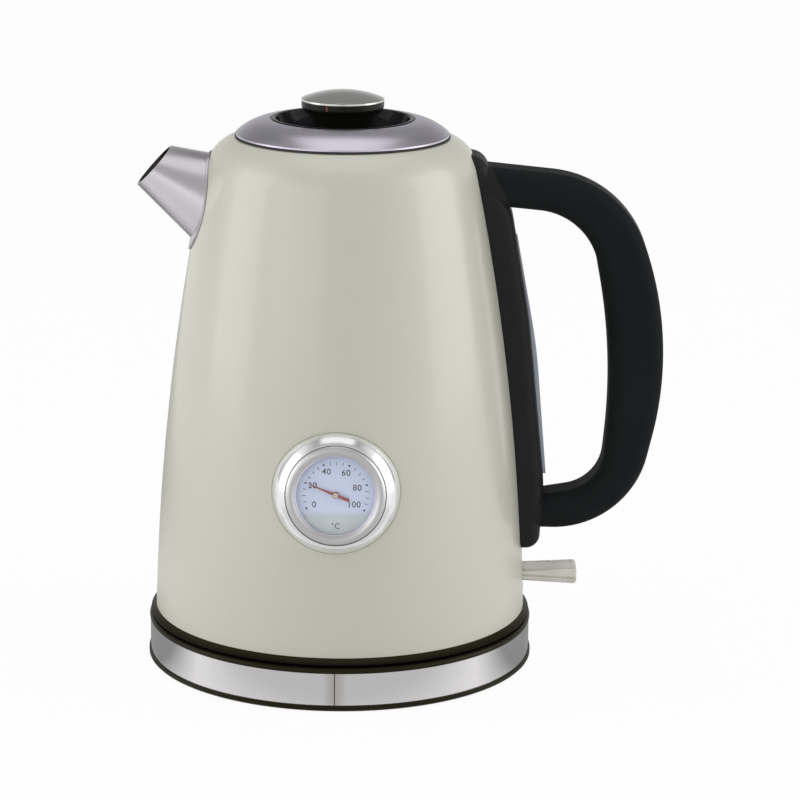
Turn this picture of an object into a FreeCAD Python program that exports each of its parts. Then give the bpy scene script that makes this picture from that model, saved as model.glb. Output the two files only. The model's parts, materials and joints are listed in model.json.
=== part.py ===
"""Electric kettle with a dial thermometer, a lift-off lid and a 360 degree power base.

Frame: millimetres, Z up, origin on the kettle's axis at table level, spout to -X, handle to +X, dial to -Y.
"""
import FreeCAD
import Part
import math
import os
import re
import Sketcher

doc = FreeCAD.newDocument("kettle")
vector = FreeCAD.Vector

# Driving sizes in millimetres and degrees
SIZES = {
    # Power base
    "foot_drop": 1, "foot_radius": 6, "foot_inset": 8.3, "foot_recess": 1,
    "base_rim_radius": 82.3, "base_rim_height": 2.4, "base_wall": 2,
    "band_inset": 0.7, "band_height": 13.6, "band_sheet": 0.5, "band_seam": 0.35,
    "top_inset": 0.4, "top_rim_height": 2.2, "top_rim_width": 2.6, "top_recess": 1.2,
    "socket_radius": 17.5, "socket_height": 23, "socket_hole": 4, "socket_wall": 4.7, "groove_width": 3.8,
    "groove_depth": 14, "base_screw_inset": 24.3, "screw_shank": 1.5, "screw_head": 3.2,
    "gland_radius": 4, "gland_bore": 3, "gland_rise": 5, "gland_flange": 4.9,
    # Kettle bottom
    "seat_gap": 0.3, "ring_inset": 1.1, "ring_lift": 0.9, "ring_height": 2.8, "ring_step": 2.2,
    "cover_inset": 5.7, "cover_sheet": 2, "cover_screw_inset": 3.5, "connector_gap": 2.9, "cover_gap": 1,
    # Vessel wall, with its belly beyond a straight line, then the shoulder and the mouth
    "wall_rise": 188.1, "wall_belly": 4.133, "wall_mid_share": 0.45774, "mouth_radius": 40.7,
    "crown_width": 5.3, "shoulder_width": 4.9, "wall_top_width": 6.4, "shoulder_rise": 11.1,
    "crown_rise": 2.7, "mouth_rise": 0.3, "neck_depth": 7.6, "wall_sheet": 0.8,
    # Floor, heater and control
    "floor_gap": 11, "floor_rim": 5, "heat_radius": 46, "heat_sheet": 3, "element_circle": 38,
    "element_width": 7, "element_sweep": 300, "control_radius": 28, "arm_width": 20, "arm_rise": 9.3,
    "arm_setback": 5.5, "bimetal_radius": 9, "bimetal_spread": 13, "steam_inset": 5.3, "steam_radius": 3.6,
    "steam_top_drop": 9,
    # Switch lever
    "lever_rise": 5.3, "pivot_inset": 12.5, "pivot_radius": 2, "lever_width": 14, "lever_throw": 22.5,
    "lever_root_half": 2.4, "lever_tip_half": 3.6,
    # Spout
    "root_radius": 20.7, "root_sink": 4.9, "root_drop": 15.3, "root_tilt": 13.7, "lip_throw": 26.2,
    "lip_rise": 16.3, "lip_tilt": 42.4, "lip_wide": 16.5, "lip_tall": 10.5, "spout_sheet": 0.9,
    "flange_width": 0.4, "skin": 0.8, "spout_hole": 16,
    # Lid
    "lid_overhang": 3.8, "lid_gap": 0.4, "lid_bead": 1.1, "dome_width": 14.7, "dome_mid_inset": 6.3,
    "dome_mid_rise": 5.2, "dish_rim_rise": 7.3, "dish_depth": 11.4, "lid_sheet": 0.9,
    "stem_radius": 10.8, "knob_radius": 17.2, "knob_rise": 4.6, "knob_edge": 2.8, "cap_rise": 4.1,
    "plug_gap": 1.3, "plug_drop": 8.8,
    # Handle
    "spine_width": 24, "spine_clear": 12.7, "spine_proud": 7.6, "spine_foot": 28.6, "spine_belly": 0.05,
    "spine_mid_share": 0.62069, "neck_proud": 14, "neck_drop": 17, "crest_proud": 0.7,
    "crest_rise": 7.9, "spine_round": 5, "spine_taper": 1.6, "screw_sink": 4.2, "spine_screw_head": 3,
    "spine_screw_shank": 1.6,
    "grip_width": 24, "grip_round": 6.4, "grip_top_drop": 4.8, "grip_top_depth": 16.6,
    "grip_sole_rise": 9.1,
    "grip_sole_depth": 13.9, "grip_throw": 54.8, "grip_depth": 26.2, "grip_mid_share": 0.518,
    "grip_inner_share": 0.471, "grip_root": 6,
    # Water window
    "window_foot": 3.8, "window_head": 10.5, "window_proud": 0.8, "window_mid_proud": 3.4,
    "window_high_proud": 2.3, "window_mid_share": 0.54277, "window_width": 10.4, "window_sheet": 1.6,
    # Thermometer dial, with heights above the wall along the dial's own axis
    "dial_rise": 68.7, "bezel_radius": 24.8, "bezel_flare": 1.5, "bezel_skirt": 5.4, "bezel_top": 5,
    "case_inset": 4.4, "case_top": 5.4, "window_inset": 3.8, "face_gap": 0.3, "face_level": 1.5,
    "glass_level": 4.1, "needle_length": 11.8, "needle_tail": 5.9, "needle_level": 2.9, "scale_rest": 158,
    "shaft_radius": 0.7, "probe_radius": 4, "probe_length": 27,
    # Running clearance and assembly gap
    "fit": 0.1, "run": 0.06,
}

# Values worked out from the driving sizes
PLACES = {
    # Power base
    "foot_circle": "base_rim_radius - foot_inset",
    "band_radius": "base_rim_radius - band_inset",
    "top_rim_radius": "base_rim_radius - top_inset",
    "base_screw_circle": "base_rim_radius - base_screw_inset",
    "base_floor": "foot_drop + base_rim_height",
    "gland_height": "base_floor + gland_rise",
    "band_top": "base_floor + band_height",
    "base_top": "band_top + top_rim_height - top_recess",
    "band_inside": "band_radius - band_sheet - fit",
    "socket_top": "base_floor + socket_height",
    "groove_floor": "socket_top - groove_depth",
    "groove_outer": "socket_radius - socket_wall",
    "groove_inner": "groove_outer - groove_width",
    # Kettle bottom
    "ring_radius": "base_rim_radius - ring_inset",
    "ring_low": "band_top + top_rim_height + ring_lift",
    "shell_low": "ring_low + ring_height",
    "cover_radius": "ring_radius - cover_inset",
    "cover_screw_circle": "cover_radius - cover_screw_inset",
    "cover_low": "ring_low + 0.3",
    "cover_top": "cover_low + cover_sheet",
    "connector_radius": "socket_radius + connector_gap",
    "cover_hole": "connector_radius + cover_gap",
    "connector_low": "socket_top + 2",
    "control_low": "connector_low + 3",
    "lever_height": "control_low + lever_rise",
    "arm_top": "lever_height + arm_rise",
    "floor_height": "arm_top + floor_gap",
    "floor_under": "floor_height - wall_sheet",
    "heat_under": "floor_under - heat_sheet",
    # Wall, shoulder and mouth
    "neck_radius": "mouth_radius + wall_sheet",
    "crown_radius": "mouth_radius + crown_width",
    "shoulder_radius": "crown_radius + shoulder_width",
    "wall_top_radius": "shoulder_radius + wall_top_width",
    "wall_low_radius": "ring_radius - ring_step",
    "wall_mid_radius": "wall_low_radius + (wall_top_radius - wall_low_radius) * wall_mid_share + wall_belly",
    "wall_mid_height": "shell_low + wall_rise * wall_mid_share",
    "wall_top_height": "shell_low + wall_rise",
    "shoulder_height": "wall_top_height + shoulder_rise",
    "crown_height": "shoulder_height + crown_rise",
    "mouth_height": "crown_height + mouth_rise",
    # Circle through the three wall points
    "wall_a": "wall_low_radius - wall_mid_radius",
    "wall_b": "shell_low - wall_mid_height",
    "wall_c": "wall_top_radius - wall_mid_radius",
    "wall_d": "wall_top_height - wall_mid_height",
    "wall_e": "(wall_a^2 + wall_b^2) / 2",
    "wall_f": "(wall_c^2 + wall_d^2) / 2",
    "wall_g": "wall_a * wall_d - wall_b * wall_c",
    "wall_centre_r": "wall_mid_radius + (wall_e * wall_d - wall_b * wall_f) / wall_g",
    "wall_centre_z": "wall_mid_height + (wall_a * wall_f - wall_e * wall_c) / wall_g",
    "wall_bow": "sqrt((wall_low_radius - wall_centre_r)^2 + (shell_low - wall_centre_z)^2)",
    "upstand": "shell_low + 5.5",
    "upstand_radius": "wall_centre_r + sqrt(wall_bow^2 - (upstand - wall_centre_z)^2) - wall_sheet - fit",
    "floor_rim_top": "floor_height + floor_rim",
    "floor_radius": "wall_centre_r + sqrt(wall_bow^2 - (floor_rim_top - wall_centre_z)^2) - wall_sheet - fit",
    # Switch and steam path
    "pivot_reach": "wall_low_radius - pivot_inset",
    "arm_reach": "pivot_reach - arm_setback",
    "lever_reach": "wall_low_radius + lever_throw",
    "steam_reach": "wall_top_radius - steam_inset",
    "steam_top": "wall_top_height - steam_top_drop",
    # Spout
    "root_reach": "wall_top_radius - root_sink",
    "root_height": "wall_top_height - root_drop",
    "lip_reach": "root_reach + lip_throw",
    "lip_height": "root_height + lip_rise",
    "flange_radius": "root_radius + flange_width",
    # Lid
    "lid_radius": "mouth_radius + lid_overhang",
    "lid_low": "mouth_height + lid_gap",
    "dome_mid_radius": "lid_radius - dome_mid_inset",
    "dome_mid_height": "lid_low + dome_mid_rise",
    "dish_radius": "lid_radius - dome_width",
    "dish_rim_height": "lid_low + dish_rim_rise",
    "dish_low": "dish_rim_height - dish_depth",
    "knob_low": "dish_rim_height + knob_rise",
    "knob_high": "knob_low + knob_edge",
    "cap_bow": "(knob_radius^2 + (cap_rise - 0.7)^2) / (2 * (cap_rise - 0.7))",
    "plug_radius": "mouth_radius - plug_gap",
    "plug_low": "lid_low - plug_drop",
    # Handle
    "spine_low": "lever_height + spine_clear",
    "spine_bend": "spine_low + spine_foot",
    "spine_neck_height": "wall_top_height - neck_drop",
    "spine_mid_height": "spine_bend + (spine_neck_height - spine_bend) * spine_mid_share",
    "spine_top": "wall_top_height + crest_rise",
    "spine_reach": "wall_low_radius + spine_proud",
    "spine_neck_reach": "wall_top_radius + neck_proud",
    "spine_mid_reach": "(spine_reach + spine_neck_reach) / 2 + spine_belly",
    "spine_top_reach": "wall_top_radius + crest_proud",
    "spine_lean": "(spine_neck_reach - spine_top_reach) / (spine_top - spine_neck_height)",
    "screw_low_height": "floor_under - spine_screw_head - fit",
    "screw_low_reach": "wall_centre_r + sqrt(wall_bow^2 - (screw_low_height - wall_centre_z)^2) - screw_sink",
    "screw_high_height": "spine_neck_height - 3.5",
    "screw_high_reach":
        "wall_centre_r + sqrt(wall_bow^2 - (screw_high_height - wall_centre_z)^2) - screw_sink",
    "grip_top": "spine_top - grip_top_drop",
    "grip_under": "grip_top - grip_top_depth",
    "grip_sole": "spine_low + grip_sole_rise",
    "grip_floor": "grip_sole + grip_sole_depth",
    "grip_reach": "spine_reach + grip_throw",
    "grip_mid": "grip_sole + (grip_top - grip_sole) * grip_mid_share",
    "grip_inner": "grip_reach - grip_depth",
    "grip_inner_mid": "grip_sole + (grip_top - grip_sole) * grip_inner_share",
    # Water window
    "window_low": "spine_bend + window_foot",
    "window_high": "spine_neck_height - window_head",
    "window_mid_height": "window_low + (window_high - window_low) * window_mid_share",
    "window_low_reach": "spine_reach + window_proud",
    "window_mid_reach": "spine_mid_reach + window_mid_proud",
    "window_high_reach": "spine_neck_reach + window_high_proud",
    # Thermometer dial
    "dial_height": "shell_low + dial_rise",
    "dial_reach": "wall_centre_r + sqrt(wall_bow^2 - (dial_height - wall_centre_z)^2)",
    "dial_tilt": "asin((dial_height - wall_centre_z) / wall_bow) / 1 deg",
    "flare_radius": "bezel_radius + bezel_flare",
    "case_radius": "bezel_radius - case_inset",
    "window_radius": "case_radius - window_inset",
    "face_radius": "window_radius - face_gap",
}

sizes = doc.addObject("Spreadsheet::Sheet", "Sizes")
places = doc.addObject("Spreadsheet::Sheet", "Places")
SHEET_OF = {}


def bound(text):
    """Name the sheet of each size word in an expression."""
    return re.sub(r"[a-z_]+[a-z_0-9]*", lambda hit: SHEET_OF.get(hit.group(0), "") + hit.group(0),
        str(text))


def number(text):
    """Value of an expression now."""
    return float(sizes.evalExpression(bound(text)))


def fill_sheets():
    for row, (name, value) in enumerate(SIZES.items(), 1):
        sizes.set("A%d" % row, name)
        sizes.set("B%d" % row, str(value))
        sizes.setAlias("B%d" % row, name)
        SHEET_OF[name] = "Sizes."
    for row, (name, text) in enumerate(PLACES.items(), 1):
        places.set("A%d" % row, name)
        places.set("B%d" % row, "=" + bound(text))
        places.setAlias("B%d" % row, name)
        SHEET_OF[name] = "Places."
    doc.recompute()


# Sketching

def start_body(label):
    body = doc.addObject("PartDesign::Body", label)
    body.Label = label
    body.AllowCompound = True
    return body


def origin_feature(body, role):
    return [item for item in body.Origin.OriginFeatures if item.Role == role][0]


def pin(sketch, shape, spot, place):
    """Hold a point of the sketch at a place given in expressions."""
    for kind, text in zip(("DistanceX", "DistanceY"), place):
        row = sketch.addConstraint(Sketcher.Constraint(kind, -1, 1, shape, spot, number(text)))
        sketch.setExpression("Constraints[%d]" % row, bound(text))


def spot_of(item):
    if item[0] == "via":
        return vector(number(item[1]), number(item[2]), 0)
    return vector(number(item[0]), number(item[1]), 0)


def add_circle(sketch, across, up, radius):
    centre = vector(number(across), number(up), 0)
    ring = sketch.addGeometry(Part.Circle(centre, vector(0, 0, 1), number(radius)), False)
    pin(sketch, ring, 3, (across, up))
    row = sketch.addConstraint(Sketcher.Constraint("Radius", ring, number(radius)))
    sketch.setExpression("Constraints[%d]" % row, bound(radius))


def add_ellipse(sketch, across, up, wide, tall):
    """An ellipse with its long half axis along the sketch's x."""
    centre = vector(number(across), number(up), 0)
    long_end = centre + vector(number(wide), 0, 0)
    short_end = centre + vector(0, number(tall), 0)
    ring = sketch.addGeometry(Part.Ellipse(long_end, short_end, centre), False)
    pin(sketch, ring, 3, (across, up))
    for end, place in ((long_end, (across + " + " + wide, up)), (short_end, (across, up + " + " + tall))):
        mark = sketch.addGeometry(Part.Point(end), True)
        pin(sketch, mark, 1, place)
        sketch.addConstraint(Sketcher.Constraint("PointOnObject", mark, 1, ring))
    line = sketch.addGeometry(Part.LineSegment(centre - vector(number(wide), 0, 0), long_end), True)
    sketch.addConstraint(Sketcher.Constraint("InternalAlignment:EllipseMajorDiameter", line, ring))
    sketch.addConstraint(Sketcher.Constraint("Horizontal", line))


def add_outline(sketch, loop):
    """A closed outline of lines, and of arcs through the points marked via."""
    spots = [spot_of(item) for item in loop]
    ends = []
    here = 0
    while here < len(loop):
        after = (here + 1) % len(loop)
        if loop[after][0] == "via":
            last = (here + 2) % len(loop)
            edge = sketch.addGeometry(Part.Arc(spots[here], spots[after], spots[last]), False)
            mark = sketch.addGeometry(Part.Point(spots[after]), True)
            pin(sketch, mark, 1, loop[after][1:])
            sketch.addConstraint(Sketcher.Constraint("PointOnObject", mark, 1, edge))
            step = 2
        else:
            edge = sketch.addGeometry(Part.LineSegment(spots[here], spots[after]), False)
            step = 1
        first = sketch.getPoint(edge, 1)
        turned = first.distanceToPoint(spots[here]) > sketch.getPoint(edge, 2).distanceToPoint(spots[here])
        ends.append((edge, 2, 1) if turned else (edge, 1, 2))
        pin(sketch, edge, ends[-1][1], loop[here])
        here += step
    for (edge, _, tail), (following, head, _) in zip(ends, ends[1:] + ends[:1]):
        sketch.addConstraint(Sketcher.Constraint("Coincident", edge, tail, following, head))


def add_rounded(sketch, loop):
    """A closed outline of straight sides; a corner with a third entry is rounded to that radius."""
    spots = [spot_of(item) for item in loop]
    count = len(loop)
    cuts = []
    for here in range(count):
        back = (spots[here - 1] - spots[here]).normalize()
        ahead = (spots[(here + 1) % count] - spots[here]).normalize()
        radius = number(loop[here][2]) if len(loop[here]) == 3 else 0
        reach = radius / math.tan(back.getAngle(ahead) / 2)
        cuts.append((spots[here] + back * reach, spots[here] + ahead * reach, back, ahead, radius))
    sides = []
    for here in range(count):
        side = Part.LineSegment(cuts[here][1], cuts[(here + 1) % count][0])
        sides.append(sketch.addGeometry(side, False))
    for here in range(count):
        into, out = sides[here - 1], sides[here]
        enter, leave, back, ahead, radius = cuts[here]
        if not radius:
            sketch.addConstraint(Sketcher.Constraint("Coincident", into, 2, out, 1))
            pin(sketch, out, 1, loop[here][:2])
            continue
        lean = (back + ahead).normalize()
        centre = spots[here] + lean * (radius / math.sin(back.getAngle(ahead) / 2))
        arc = sketch.addGeometry(Part.Arc(enter, centre - lean * radius, leave), False)
        near = sketch.getPoint(arc, 1).distanceToPoint(enter) < sketch.getPoint(arc,
            2).distanceToPoint(enter)
        head, tail = (1, 2) if near else (2, 1)
        mark = sketch.addGeometry(Part.Point(spots[here]), True)
        pin(sketch, mark, 1, loop[here][:2])
        sketch.addConstraint(Sketcher.Constraint("PointOnObject", mark, 1, into))
        sketch.addConstraint(Sketcher.Constraint("PointOnObject", mark, 1, out))
        sketch.addConstraint(Sketcher.Constraint("Tangent", into, 2, arc, head))
        sketch.addConstraint(Sketcher.Constraint("Tangent", arc, tail, out, 1))
        row = sketch.addConstraint(Sketcher.Constraint("Radius", arc, radius))
        sketch.setExpression("Constraints[%d]" % row, bound(loop[here][2]))


def draw(body, name, plane, *loops, lift=None, tilt=None, raise_by=None):
    """A sketch on one of the body's planes: lifted along its normal, tilted, raised along its y."""
    sketch = body.newObject("Sketcher::SketchObject", body.Name + "_" + name)
    sketch.AttachmentSupport = [(origin_feature(body, plane), "")]
    sketch.MapMode = "FlatFace"
    if tilt:
        turned = FreeCAD.Rotation(vector(1, 0, 0), number(tilt))
        sketch.AttachmentOffset = FreeCAD.Placement(vector(0, 0, 0), turned)
        sketch.setExpression("AttachmentOffset.Rotation.Angle", bound(tilt))
    if lift:
        sketch.setExpression("AttachmentOffset.Base.z", bound(lift))
    if raise_by:
        sketch.setExpression("AttachmentOffset.Base.y", bound(raise_by))
    makers = {"circle": add_circle, "ellipse": add_ellipse}
    for loop in loops:
        if loop[0] in makers:
            makers[loop[0]](sketch, *loop[1:])
        elif loop[0] == "rounded":
            add_rounded(sketch, loop[1:])
        else:
            add_outline(sketch, loop)
    doc.recompute()
    return sketch


# Features

def feature(body, kind, name, sketch):
    item = body.newObject("PartDesign::" + kind, body.Name + "_" + name)
    item.Profile = (sketch, [""])
    return item


def turn(body, name, *loops, kind="Revolution", angle=None):
    """Turn an outline of radius and height about the body's Z axis."""
    sketch = draw(body, name + "_profile", "XZ_Plane", *loops)
    item = feature(body, kind, name, sketch)
    item.ReferenceAxis = (sketch, ["V_Axis"])
    item.Angle = 360
    if angle:
        item.setExpression("Angle", bound(angle))
        item.Midplane = True
    doc.recompute()
    return item


def pad(body, name, sketch, length, both=False, kind="Pad", back=False):
    item = feature(body, kind, name, sketch)
    item.setExpression("Length", bound(length))
    if both:
        item.SideType = "Symmetric"
    item.Reversed = back
    doc.recompute()
    return item


def cut(body, name, sketch, length, both=False, back=False):
    return pad(body, name, sketch, length, both, "Pocket", back)


def around(body, name, items, count):
    """Repeat features round the body's Z axis."""
    item = body.newObject("PartDesign::PolarPattern", body.Name + "_" + name)
    item.Originals = items
    item.Axis = (origin_feature(body, "Z_Axis"), [""])
    item.Angle = 360
    item.Occurrences = count
    body.Tip = item
    doc.recompute()
    return item


def round_edges(body, name, base, radius, chosen):
    """Fillet the edges that a test picks."""
    names = ["Edge%d" % (row + 1) for row, edge in enumerate(base.Shape.Edges) if chosen(edge)]
    item = body.newObject("PartDesign::Fillet", body.Name + "_" + name)
    item.Base = (base, names)
    item.setExpression("Radius", bound(radius))
    doc.recompute()
    return item


def on_side(half_width):
    """A test for edges that lie in one of the planes Y = plus or minus a half width."""
    return lambda edge: all(abs(abs(corner.Y) - half_width) < 0.01 for corner in edge.Vertexes)


def join(kind, label, *items):
    """A boolean of whole shapes."""
    result = doc.addObject("Part::" + kind, label)
    result.Label = label
    if kind == "Cut":
        result.Base, result.Tool = items
    else:
        result.Shapes = list(items)
    doc.recompute()
    return result


def rect(low_x, low_y, high_x, high_y):
    return [(low_x, low_y), (high_x, low_y), (high_x, high_y), (low_x, high_y)]


# Power base

def base_lower_housing():
    body = start_body("base_lower_housing")
    turn(body, "cup", [
        ("0", "foot_drop"), ("base_rim_radius - 0.6", "foot_drop"), ("base_rim_radius", "foot_drop + 0.6"),
        ("base_rim_radius", "base_floor - 0.4"), ("base_rim_radius - 0.4", "base_floor"),
        ("band_inside", "base_floor"), ("band_inside", "band_top - 4"),
        ("band_inside - base_wall", "band_top - 4"), ("band_inside - base_wall", "base_floor"),
        ("0", "base_floor")])
    recess = cut(body, "foot_hole", draw(body, "foot_place", "XY_Plane",
                 ("circle", "0", "foot_circle", "foot_radius + fit"), lift="foot_drop"),
                 "foot_recess", back=True)
    around(body, "foot_holes", [recess], 3)
    sink = cut(body, "screw_sink", draw(body, "sink_place", "XY_Plane",
               ("circle", "0", "-base_screw_circle", "screw_head + 0.3"), lift="foot_drop"), "1.1",
               back=True)
    hole = cut(body, "screw_hole", draw(body, "hole_place", "XY_Plane",
               ("circle", "0", "-base_screw_circle", "screw_shank + 0.2"), lift="foot_drop"),
               "base_rim_height + 1", back=True)
    around(body, "screw_holes", [sink, hole], 3)
    cut(body, "cord_hole", draw(body, "cord_place", "XZ_Plane",
        ("circle", "0", "gland_height", "gland_radius + fit")), "base_rim_radius + 5")
    return body


def base_upper_housing():
    body = start_body("base_upper_housing")
    turn(body, "cover", [
        ("socket_radius + 0.5", "base_top - base_wall"),
        ("band_inside - base_wall", "base_top - base_wall"),
        ("band_inside - base_wall", "band_top - 3.9"), ("band_inside", "band_top - 3.9"),
        ("band_inside", "band_top"), ("band_radius", "band_top"),
        ("via", "top_rim_radius", "band_top + 0.9"), ("top_rim_radius - 1.2", "band_top + top_rim_height"),
        ("top_rim_radius - top_rim_width", "band_top + top_rim_height"),
        ("top_rim_radius - top_rim_width - 1", "base_top"), ("socket_radius + 0.5", "base_top")])
    boss = pad(body, "boss", draw(body, "boss_place", "XY_Plane",
               ("circle", "0", "-base_screw_circle", "4"),
               ("circle", "0", "-base_screw_circle", "screw_shank + fit"),
               lift="base_floor"), "base_top - base_wall - base_floor")
    around(body, "bosses", [boss], 3)
    return body


def base_trim_band():
    body = start_body("base_trim_band")
    turn(body, "hoop", rect("band_radius - band_sheet", "base_floor", "band_radius", "band_top"))
    cut(body, "seam", draw(body, "seam_place", "XY_Plane",
        rect("-band_seam / 2", "-band_radius - 1", "band_seam / 2", "-band_radius + 2")), "band_top + 5",
        back=True)
    cut(body, "cord_hole", draw(body, "cord_place", "XZ_Plane",
        ("circle", "0", "gland_height", "gland_radius + fit")), "base_rim_radius + 5")
    return body


def base_socket():
    body = start_body("base_socket")
    turn(body, "tower", [
        ("0", "base_floor"), ("socket_radius", "base_floor"), ("socket_radius", "base_top - base_wall - 3"),
        ("socket_radius + 6", "base_top - base_wall - 3"), ("socket_radius + 6", "base_top - base_wall"),
        ("socket_radius", "base_top - base_wall"), ("socket_radius", "socket_top - 1"),
        ("socket_radius - 1", "socket_top"), ("groove_outer", "socket_top"),
        ("groove_outer", "groove_floor"),
        ("groove_inner", "groove_floor"), ("groove_inner", "socket_top"), ("socket_hole", "socket_top"),
        ("socket_hole", "groove_floor"), ("0", "groove_floor")])
    return body


def socket_contacts():
    body = start_body("socket_contacts")
    turn(body, "sleeve", rect("socket_hole - 0.7", "groove_floor", "socket_hole - fit", "groove_floor + 6"))
    turn(body, "hoop", rect("groove_outer - 0.6", "groove_floor", "groove_outer - fit", "groove_floor + 7"))
    return body


def socket_shutter():
    body = start_body("socket_shutter")
    turn(body, "sleeve",
        rect("groove_inner + 0.3", "groove_floor + 0.3", "groove_outer - 1", "groove_floor + 3.4"))
    return body


def base_feet():
    body = start_body("base_feet")
    foot = pad(body, "foot", draw(body, "place", "XY_Plane", ("circle", "0", "foot_circle", "foot_radius")),
               "foot_drop + foot_recess")
    around(body, "feet", [foot], 3)
    return body


def base_screws():
    body = start_body("base_screws")
    place = ("circle", "0", "-base_screw_circle")
    head = pad(body, "head",
        draw(body, "head_place", "XY_Plane", place + ("screw_head",), lift="foot_drop + 0.1"), "1")
    shank = pad(body, "shank", draw(body, "shank_place", "XY_Plane", place + ("screw_shank",),
                lift="foot_drop + 1.1"), "9")
    around(body, "screws", [head, shank], 3)
    return body


def cord_gland():
    body = start_body("cord_gland")
    body.Placement = FreeCAD.Placement(vector(0, 0, 0), FreeCAD.Rotation(vector(1, 0, 0), -90))
    body.setExpression("Placement.Base.z", bound("gland_height"))
    turn(body, "bush", [
        ("gland_bore", "band_inside - base_wall - 2"), ("gland_flange", "band_inside - base_wall - 2"),
        ("gland_flange", "band_inside - base_wall - 0.5"),
        ("gland_radius", "band_inside - base_wall - 0.5"),
        ("gland_radius", "band_radius + 0.1"), ("gland_flange", "band_radius + 0.1"),
        ("gland_flange - 0.4", "band_radius + 1.5"), ("gland_bore", "band_radius + 1.5")])
    return body


# Vessel

def wall_line(offset):
    """The wall's side from low to high, moved inwards by an offset."""
    return [("wall_low_radius - " + offset, "shell_low"),
            ("via", "wall_mid_radius - " + offset, "wall_mid_height"),
            ("wall_top_radius - " + offset, "wall_top_height")]


def crown_line(offset):
    """The shoulder's middle and end, moved inwards by an offset."""
    return [("via", "shoulder_radius - 0.67 * " + offset, "shoulder_height - 0.74 * " + offset),
            ("crown_radius - 0.4 * " + offset, "crown_height - 0.92 * " + offset)]


def wall_solid(label, offset):
    """Everything inside the wall's outer face, to trim what stands on it."""
    body = start_body(label)
    turn(body, "whole", [("0", "shell_low")] + wall_line(offset) + crown_line(offset) + [
        ("0", "crown_height - 0.92 * " + offset)])
    return body


def body_shell():
    body = start_body("body_shell")
    inner = wall_line("wall_sheet") + crown_line("wall_sheet")
    turn(body, "wall", wall_line("0") + crown_line("0") + [
        ("mouth_radius + 0.8", "mouth_height"), ("via", "mouth_radius + 0.2", "mouth_height - 0.2"),
        ("mouth_radius", "mouth_height - 0.9"), ("mouth_radius", "mouth_height - neck_depth"),
        ("neck_radius", "mouth_height - neck_depth"), ("neck_radius", "mouth_height - 1.1")] + inner[::-1])
    reach = "wall_low_radius + 10"
    cut(body, "spout_hole",
        draw(body, "spout_place", "YZ_Plane", ("circle", "0", "root_height", "spout_hole")), reach)
    cut(body, "lever_slot", draw(body, "lever_place", "YZ_Plane",
        rect("-lever_width / 2 - 1", "lever_height - lever_root_half - 3.4", "lever_width / 2 + 1",
             "lever_height + lever_root_half + 1")), reach, back=True)
    cut(body, "window_slot", draw(body, "window_place", "YZ_Plane",
        rect("-window_width / 2 + window_sheet", "window_low + 3", "window_width / 2 - window_sheet",
             "window_high - 3")), reach, back=True)
    cut(body, "screw_holes", draw(body, "screw_place", "YZ_Plane",
        *[("circle", "0", height, "spine_screw_shank + 0.2") for _, height, _ in SCREW_PLACES]), reach,
        back=True)
    cut(body, "probe_hole", draw(body, "probe_place", "XZ_Plane",
        ("circle", "0", "dial_height", "probe_radius + 0.8")), reach, back=True)
    return body


def vessel_floor():
    body = start_body("vessel_floor")
    turn(body, "pan", [
        ("0", "floor_under"), ("floor_radius - 1", "floor_under"), ("floor_radius", "floor_under + 1"),
        ("floor_radius", "floor_rim_top"), ("floor_radius - wall_sheet", "floor_rim_top"),
        ("floor_radius - wall_sheet", "floor_height + 0.4"),
        ("floor_radius - wall_sheet - 0.4", "floor_height"),
        ("0", "floor_height")])
    cut(body, "steam_hole", draw(body, "steam_place", "XY_Plane",
        ("circle", "steam_reach", "0", "steam_radius + fit")), "floor_height + 5", back=True)
    return body


def heat_plate():
    body = start_body("heat_plate")
    turn(body, "disc", rect("0", "heat_under", "heat_radius", "floor_under"))
    return body


def heating_element():
    body = start_body("heating_element")
    turn(body, "tube", [
        ("element_circle - element_width / 2", "heat_under"),
        ("element_circle - element_width / 2", "heat_under - 3"),
        ("via", "element_circle", "heat_under - 3 - element_width / 2"),
        ("element_circle + element_width / 2", "heat_under - 3"),
        ("element_circle + element_width / 2", "heat_under")], angle="element_sweep")
    body.Placement = FreeCAD.Placement(vector(0, 0, 0), FreeCAD.Rotation(vector(0, 0, 1), 180))
    return body


def element_terminals():
    body = start_body("element_terminals")
    across = "element_circle * cos(180 - element_sweep / 2 - 5)"
    along = "element_circle * sin(180 - element_sweep / 2 - 5)"
    for name, side in (("front", "-"), ("rear", "")):
        pad(body, name, draw(body, name + "_place", "XY_Plane", ("circle", across, side + along, "1.6"),
            lift="heat_under - 14"), "14")
    return body


def control_unit():
    body = start_body("control_unit")
    pad(body, "drum", draw(body, "drum_place", "XY_Plane", ("circle", "0", "0", "control_radius"),
        lift="control_low"), "heat_under - 1 - control_low")
    pad(body, "arm", draw(body, "arm_place", "XY_Plane",
        rect("control_radius - 8", "-arm_width / 2", "arm_reach", "arm_width / 2"), lift="control_low"),
        "arm_top - control_low")
    ears = draw(body, "ear_place", "XZ_Plane",
                rect("arm_reach - 2", "control_low", "pivot_reach + 4", "lever_height + 4"))
    pad(body, "ears", ears, "lever_width + 7.4", both=True)
    cut(body, "ear_gap", draw(body, "gap_place", "XZ_Plane",
        rect("arm_reach", "control_low - 1", "pivot_reach + 5", "lever_height + 5")), "lever_width + 1",
        both=True)
    cut(body, "pivot_hole", draw(body, "pivot_place", "XZ_Plane",
        ("circle", "pivot_reach", "lever_height", "pivot_radius + run")), "lever_width + 9", both=True)
    cut(body, "lamp_hole", draw(body, "lamp_place", "YZ_Plane",
        ("circle", "0", "lever_height", "2.1"), lift="arm_reach - 5"), "6", back=True)
    return body


def control_bimetals():
    body = start_body("control_bimetals")
    for name, side in (("front", "-"), ("rear", "")):
        pad(body, name, draw(body, name + "_place", "XY_Plane",
            ("circle", "0", side + "bimetal_spread", "bimetal_radius"), lift="heat_under - 1"), "1")
    return body


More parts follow.
